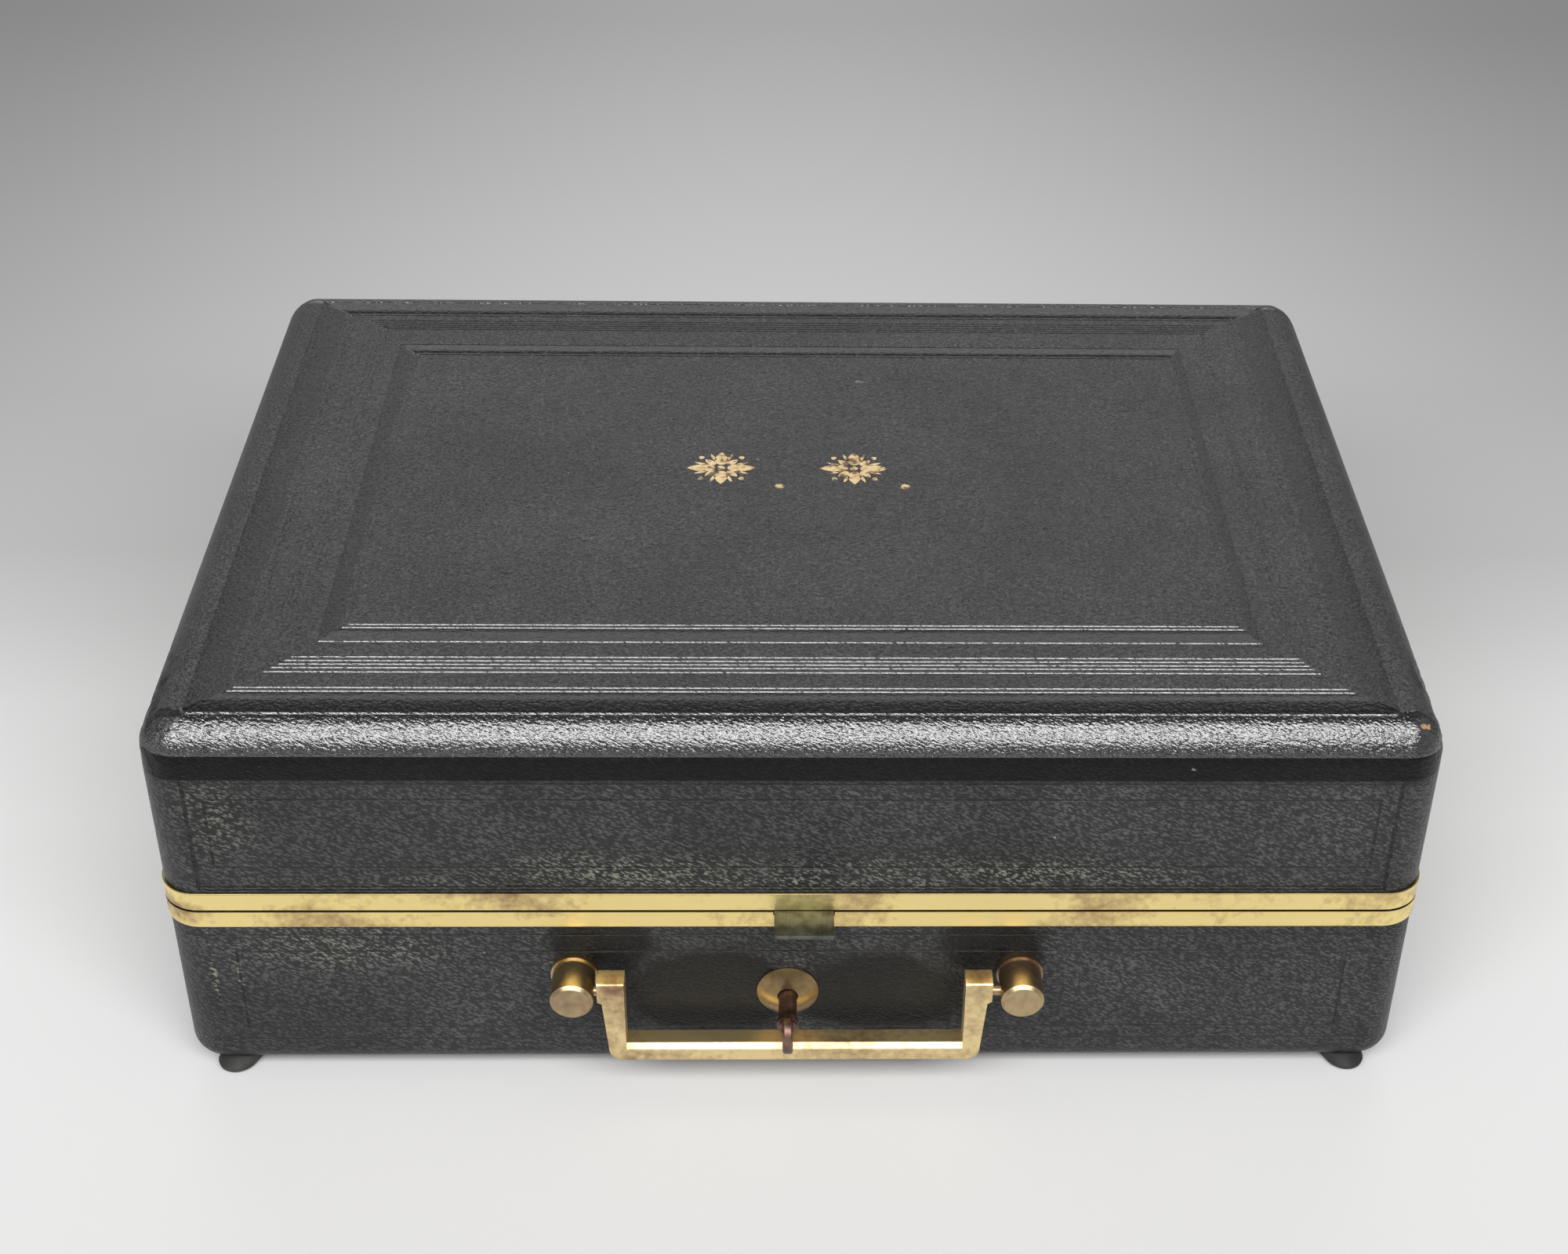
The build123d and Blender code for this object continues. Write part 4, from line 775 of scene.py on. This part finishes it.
# ---- Linings ----
# Smooth dark red skiver pasted inside the body and the lid, and a velvet-covered tray with a well
# for each fitting.
skiver, nodes, links, shader = new_finish("lining")
pores = grain(nodes, links, 1500, 3)
shade = grain(nodes, links, 18, 4)
links.new(shades(nodes, links, shade.outputs["Fac"], (0.3, (0.085, 0.013, 0.016)), (0.7, (0.16, 0.028, 0.032))),
          shader.inputs["Base Color"])
shader.inputs["Roughness"].default_value = 0.48
relief(nodes, links, shader, pores.outputs["Fac"], 0.00008)
finish_nodes(skiver, "body_lining", "lid_lining")
velvet, nodes, links, shader = new_finish("tray_velvet")
pile = grain(nodes, links, 2200, 3)
brushed = grain(nodes, links, 40, 5)
links.new(shades(nodes, links, brushed.outputs["Fac"], (0.35, (0.07, 0.008, 0.014)), (0.7, (0.15, 0.022, 0.035))),
          shader.inputs["Base Color"])
shader.inputs["Roughness"].default_value = 0.95
shader.inputs["Sheen Weight"].default_value = 0.6
shader.inputs["Sheen Roughness"].default_value = 0.4
shader.inputs["Sheen Tint"].default_value = (0.55, 0.2, 0.24, 1.0)
relief(nodes, links, shader, pile.outputs["Fac"], 0.0003)
finish_nodes(velvet, "fitting_tray")

# ---- Mirror ----
# A silvered glass in the lid, in a moulded wooden frame covered in dark red leather.
frame_hide = goatskin("frame_leather", pebbles=0.4, gloss=0.40, wax=0.5, colour=(0.085, 0.012, 0.015))
finish_nodes(frame_hide, "mirror_frame")
silvering, nodes, links, shader = new_finish("silvered_glass")
bloom = grain(nodes, links, 22, 6)
links.new(shades(nodes, links, bloom.outputs["Fac"], (0.25, (0.70, 0.72, 0.72)), (0.6, (0.86, 0.88, 0.88))),
          shader.inputs["Base Color"])
shader.inputs["Metallic"].default_value = 1.0
links.new(sums(nodes, links, "MULTIPLY_ADD", bloom.outputs["Fac"], 0.06, 0.0), shader.inputs["Roughness"])
finish_nodes(silvering, "mirror_glass")

# ---- Bottles, jars and boxes ----
# Clear cut glass with star and flute cutting, under silver-plated caps and lids that carry an
# engine-turned pattern and a little yellow tarnish.
glass, nodes, links, shader = new_finish("cut_glass")
shader.inputs["Base Color"].default_value = (0.96, 0.98, 0.98, 1.0)
shader.inputs["Transmission Weight"].default_value = 0.9
shader.inputs["IOR"].default_value = 1.5
cuts = grain(nodes, links, 95, 0.0, (1, 1, 0.5), (0, 0, 0.785), "ShaderNodeTexVoronoi")
cuts.distance = "CHEBYCHEV"
links.new(sums(nodes, links, "MULTIPLY_ADD", cuts.outputs["Distance"], 0.05, 0.02), shader.inputs["Roughness"])
relief(nodes, links, shader, cuts.outputs["Distance"], 0.0012)
silver, nodes, links, shader = new_finish("silver_plate")
bloom = grain(nodes, links, 60, 6)
turned_lines = grain(nodes, links, 700, 0.0, (1, 1, 0.1), (0, 0, 0.785), "ShaderNodeTexVoronoi")
links.new(shades(nodes, links, bloom.outputs["Fac"], (0.35, (0.86, 0.85, 0.82)), (0.72, (0.62, 0.52, 0.36))),
          shader.inputs["Base Color"])
shader.inputs["Metallic"].default_value = 1.0
links.new(sums(nodes, links, "MULTIPLY_ADD", bloom.outputs["Fac"], 0.3, 0.08), shader.inputs["Roughness"])
relief(nodes, links, shader, turned_lines.outputs["Distance"], 0.0001)
finish_nodes(glass, "bottle_stoppers", "soap_box", "toothbrush_box", "powder_jar_1", "powder_jar_2",
             *[f"scent_bottle_{i}" for i in range(1, 5)])
finish_nodes(silver, "soap_box_lid", "toothbrush_box_lid", "powder_jar_lid_1", "powder_jar_lid_2",
             *[f"scent_bottle_cap_{i}" for i in range(1, 5)])

# ---- Brushes, comb and tools ----
# Polished ebony brush backs over hog bristle, a horn comb, and steel tools with pearl handles.
ebony, nodes, links, shader = new_finish("ebony")
fibre = grain(nodes, links, 500, 6, (0.05, 1, 1))
links.new(shades(nodes, links, fibre.outputs["Fac"], (0.35, (0.010, 0.007, 0.006)), (0.7, (0.05, 0.03, 0.02))),
          shader.inputs["Base Color"])
shader.inputs["Roughness"].default_value = 0.28
shader.inputs["Coat Weight"].default_value = 0.4
relief(nodes, links, shader, fibre.outputs["Fac"], 0.00004)
finish_nodes(ebony, "hair_brush_back_1", "hair_brush_back_2")
bristle, nodes, links, shader = new_finish("bristle")
hairs = grain(nodes, links, 2400, 2, (1, 1, 0.03))
links.new(shades(nodes, links, hairs.outputs["Fac"], (0.35, (0.22, 0.17, 0.10)), (0.65, (0.72, 0.64, 0.48))),
          shader.inputs["Base Color"])
shader.inputs["Roughness"].default_value = 0.7
relief(nodes, links, shader, hairs.outputs["Fac"], 0.0006)
finish_nodes(bristle, "hair_brush_bristles_1", "hair_brush_bristles_2")
horn, nodes, links, shader = new_finish("horn")
streaks = grain(nodes, links, 60, 6, (0.2, 1, 1))
links.new(shades(nodes, links, streaks.outputs["Fac"], (0.3, (0.09, 0.035, 0.012)), (0.5, (0.30, 0.15, 0.05)),
                 (0.7, (0.55, 0.36, 0.16))), shader.inputs["Base Color"])
shader.inputs["Roughness"].default_value = 0.25
shader.inputs["Coat Weight"].default_value = 0.3
relief(nodes, links, shader, streaks.outputs["Fac"], 0.00005)
finish_nodes(horn, "comb")
pearl, nodes, links, shader = new_finish("pearl")
waves = grain(nodes, links, 110, 5, (0.3, 1, 1))
links.new(shades(nodes, links, waves.outputs["Fac"], (0.3, (0.62, 0.66, 0.62)), (0.5, (0.86, 0.82, 0.76)),
                 (0.7, (0.76, 0.66, 0.68))), shader.inputs["Base Color"])
shader.inputs["Roughness"].default_value = 0.22
shader.inputs["Coat Weight"].default_value = 0.5
relief(nodes, links, shader, waves.outputs["Fac"], 0.00006)
finish_nodes(pearl, "tool_handles")
polished_steel = steel_finish("polished_steel", (0.45, 0.45, 0.44), (0.68, 0.68, 0.66), 0.24, (0.05, 1, 1))
finish_nodes(polished_steel, "tool_steels")

# ---- Stage, lights and camera ----
# A pale sweep that fades to grey behind, soft boxes over and beside the box, and the camera in
# front, above the key.
floor, nodes, links, shader = new_finish("stage")
where = nodes.new("ShaderNodeTexCoord")
parts = nodes.new("ShaderNodeSeparateXYZ")
links.new(where.outputs["Object"], parts.inputs["Vector"])
# From front to back the floor's shade changes at these shares of the way.
floor_front, floor_back = -0.25, 0.80
floor_shades = ((0.0, 0.68), (0.143, 0.78), (0.238, 0.84), (0.301, 0.78), (0.40, 0.555),
                (0.524, 0.48), (0.68, 0.447), (0.824, 0.40), (0.959, 0.35))
fade = nodes.new("ShaderNodeMapRange")
fade.inputs["From Min"].default_value = floor_front
fade.inputs["From Max"].default_value = floor_back
links.new(parts.outputs["Y"], fade.inputs["Value"])
tone = shades(nodes, links, fade.outputs["Result"], *[(place, (shade,) * 3) for place, shade in floor_shades])
# Behind the box its middle is brighter.
middle = nodes.new("ShaderNodeMapRange")
middle.interpolation_type = "SMOOTHSTEP"
middle.inputs["From Max"].default_value = 0.50
middle.inputs["To Min"].default_value = 0.5
middle.inputs["To Max"].default_value = 0.0
links.new(sums(nodes, links, "ABSOLUTE", parts.outputs["X"]), middle.inputs["Value"])
behind = nodes.new("ShaderNodeMapRange")
behind.inputs["From Min"].default_value = 0.12
behind.inputs["From Max"].default_value = 0.32
links.new(parts.outputs["Y"], behind.inputs["Value"])
glow = sums(nodes, links, "MULTIPLY_ADD", middle.outputs["Result"], behind.outputs["Result"], 1.0)
bright = nodes.new("ShaderNodeVectorMath")
bright.operation = "SCALE"
links.new(tone, bright.inputs[0])
links.new(glow, bright.inputs["Scale"])
links.new(bright.outputs["Vector"], shader.inputs["Base Color"])
shader.inputs["Roughness"].default_value = 1.0
shader.inputs["Specular IOR Level"].default_value = 0.0
# Far from the box the floor is pale for the eye, metal and glass, as a sweep that goes on is.
pale_from, pale_to, pale_shade = 1.15, 2.2, 0.56
reach = nodes.new("ShaderNodeVectorMath")
reach.operation = "LENGTH"
links.new(where.outputs["Object"], reach.inputs[0])
distance = nodes.new("ShaderNodeMapRange")
distance.interpolation_type = "SMOOTHSTEP"
distance.inputs["From Min"].default_value = pale_from
distance.inputs["From Max"].default_value = pale_to
links.new(reach.outputs["Value"], distance.inputs["Value"])
rays = nodes.new("ShaderNodeLightPath")
seen = sums(nodes, links, "MAXIMUM", rays.outputs["Is Camera Ray"],
            sums(nodes, links, "MAXIMUM", rays.outputs["Is Glossy Ray"], rays.outputs["Is Transmission Ray"]))
pale = nodes.new("ShaderNodeEmission")
pale.inputs["Color"].default_value = (pale_shade, pale_shade, pale_shade, 1.0)
swept = nodes.new("ShaderNodeMixShader")
links.new(sums(nodes, links, "MULTIPLY", seen, distance.outputs["Result"]), swept.inputs["Fac"])
links.new(shader.outputs["BSDF"], swept.inputs[1])
links.new(pale.outputs["Emission"], swept.inputs[2])
links.new(swept.outputs["Shader"], nodes["Material Output"].inputs["Surface"])
bpy.ops.object.select_all(action="DESELECT")
bpy.ops.mesh.primitive_plane_add(size=40.0)
ground = bpy.context.object
ground.name = "sweep"
ground.data.materials.append(floor)


def soft_box(name, middle, aim, width, height, power):
    """A soft box that faces the point it is aimed at."""
    lamp = bpy.data.lights.new(name, "AREA")
    lamp.shape = "RECTANGLE"
    lamp.size = width
    lamp.size_y = height
    lamp.energy = power
    made = bpy.data.objects.new(name, lamp)
    bpy.context.scene.collection.objects.link(made)
    made.location = middle
    made.rotation_euler = (Vector(aim) - Vector(middle)).to_track_quat("-Z", "Y").to_euler()


soft_box("back_box", (0.0, 1.45, 1.10), (0, 0.0, 0.12), 2.4, 0.8, 10.0)
soft_box("strip_box", (0.0, -0.97, 1.00), (0, -0.12, 0.12), 1.9, 0.50, 24.5)
soft_box("left_box", (-1.4, -0.3, 0.7), (0, 0, 0.06), 1.2, 1.2, 1.5)
soft_box("right_box", (1.4, -0.3, 0.7), (0, 0, 0.06), 1.2, 1.2, 1.5)
world = bpy.data.worlds.new("studio")
world.use_nodes = True
world.node_tree.nodes["Background"].inputs["Color"].default_value = (0.16, 0.16, 0.16, 1.0)
world.node_tree.nodes["Background"].inputs["Strength"].default_value = 1.0
bpy.context.scene.world = world
bpy.context.scene.view_settings.view_transform = "Standard"

lens = bpy.data.cameras.new("camera")
lens.sensor_width = 36.0
lens.lens = 54.94
lens.shift_x = -0.0474
lens.shift_y = 0.0295
camera = bpy.data.objects.new("camera", lens)
bpy.context.scene.collection.objects.link(camera)
camera_place = Vector((-0.002578, -0.63795, 0.51865))
pitch, yaw, roll = 0.622, -0.0366, 0.0235
ahead = Vector((0, math.cos(pitch), -math.sin(pitch)))
above = Vector((0, math.sin(pitch), math.cos(pitch)))
turned = Matrix.Rotation(yaw, 3, "Z")
ahead, above, beside = turned @ ahead, turned @ above, turned @ Vector((1, 0, 0))
right_way = math.cos(roll) * beside + math.sin(roll) * above
up_way = -math.sin(roll) * beside + math.cos(roll) * above
stand = Matrix((right_way, up_way, -ahead)).transposed().to_4x4()
stand.translation = camera_place
camera.matrix_world = stand
bpy.context.scene.camera = camera
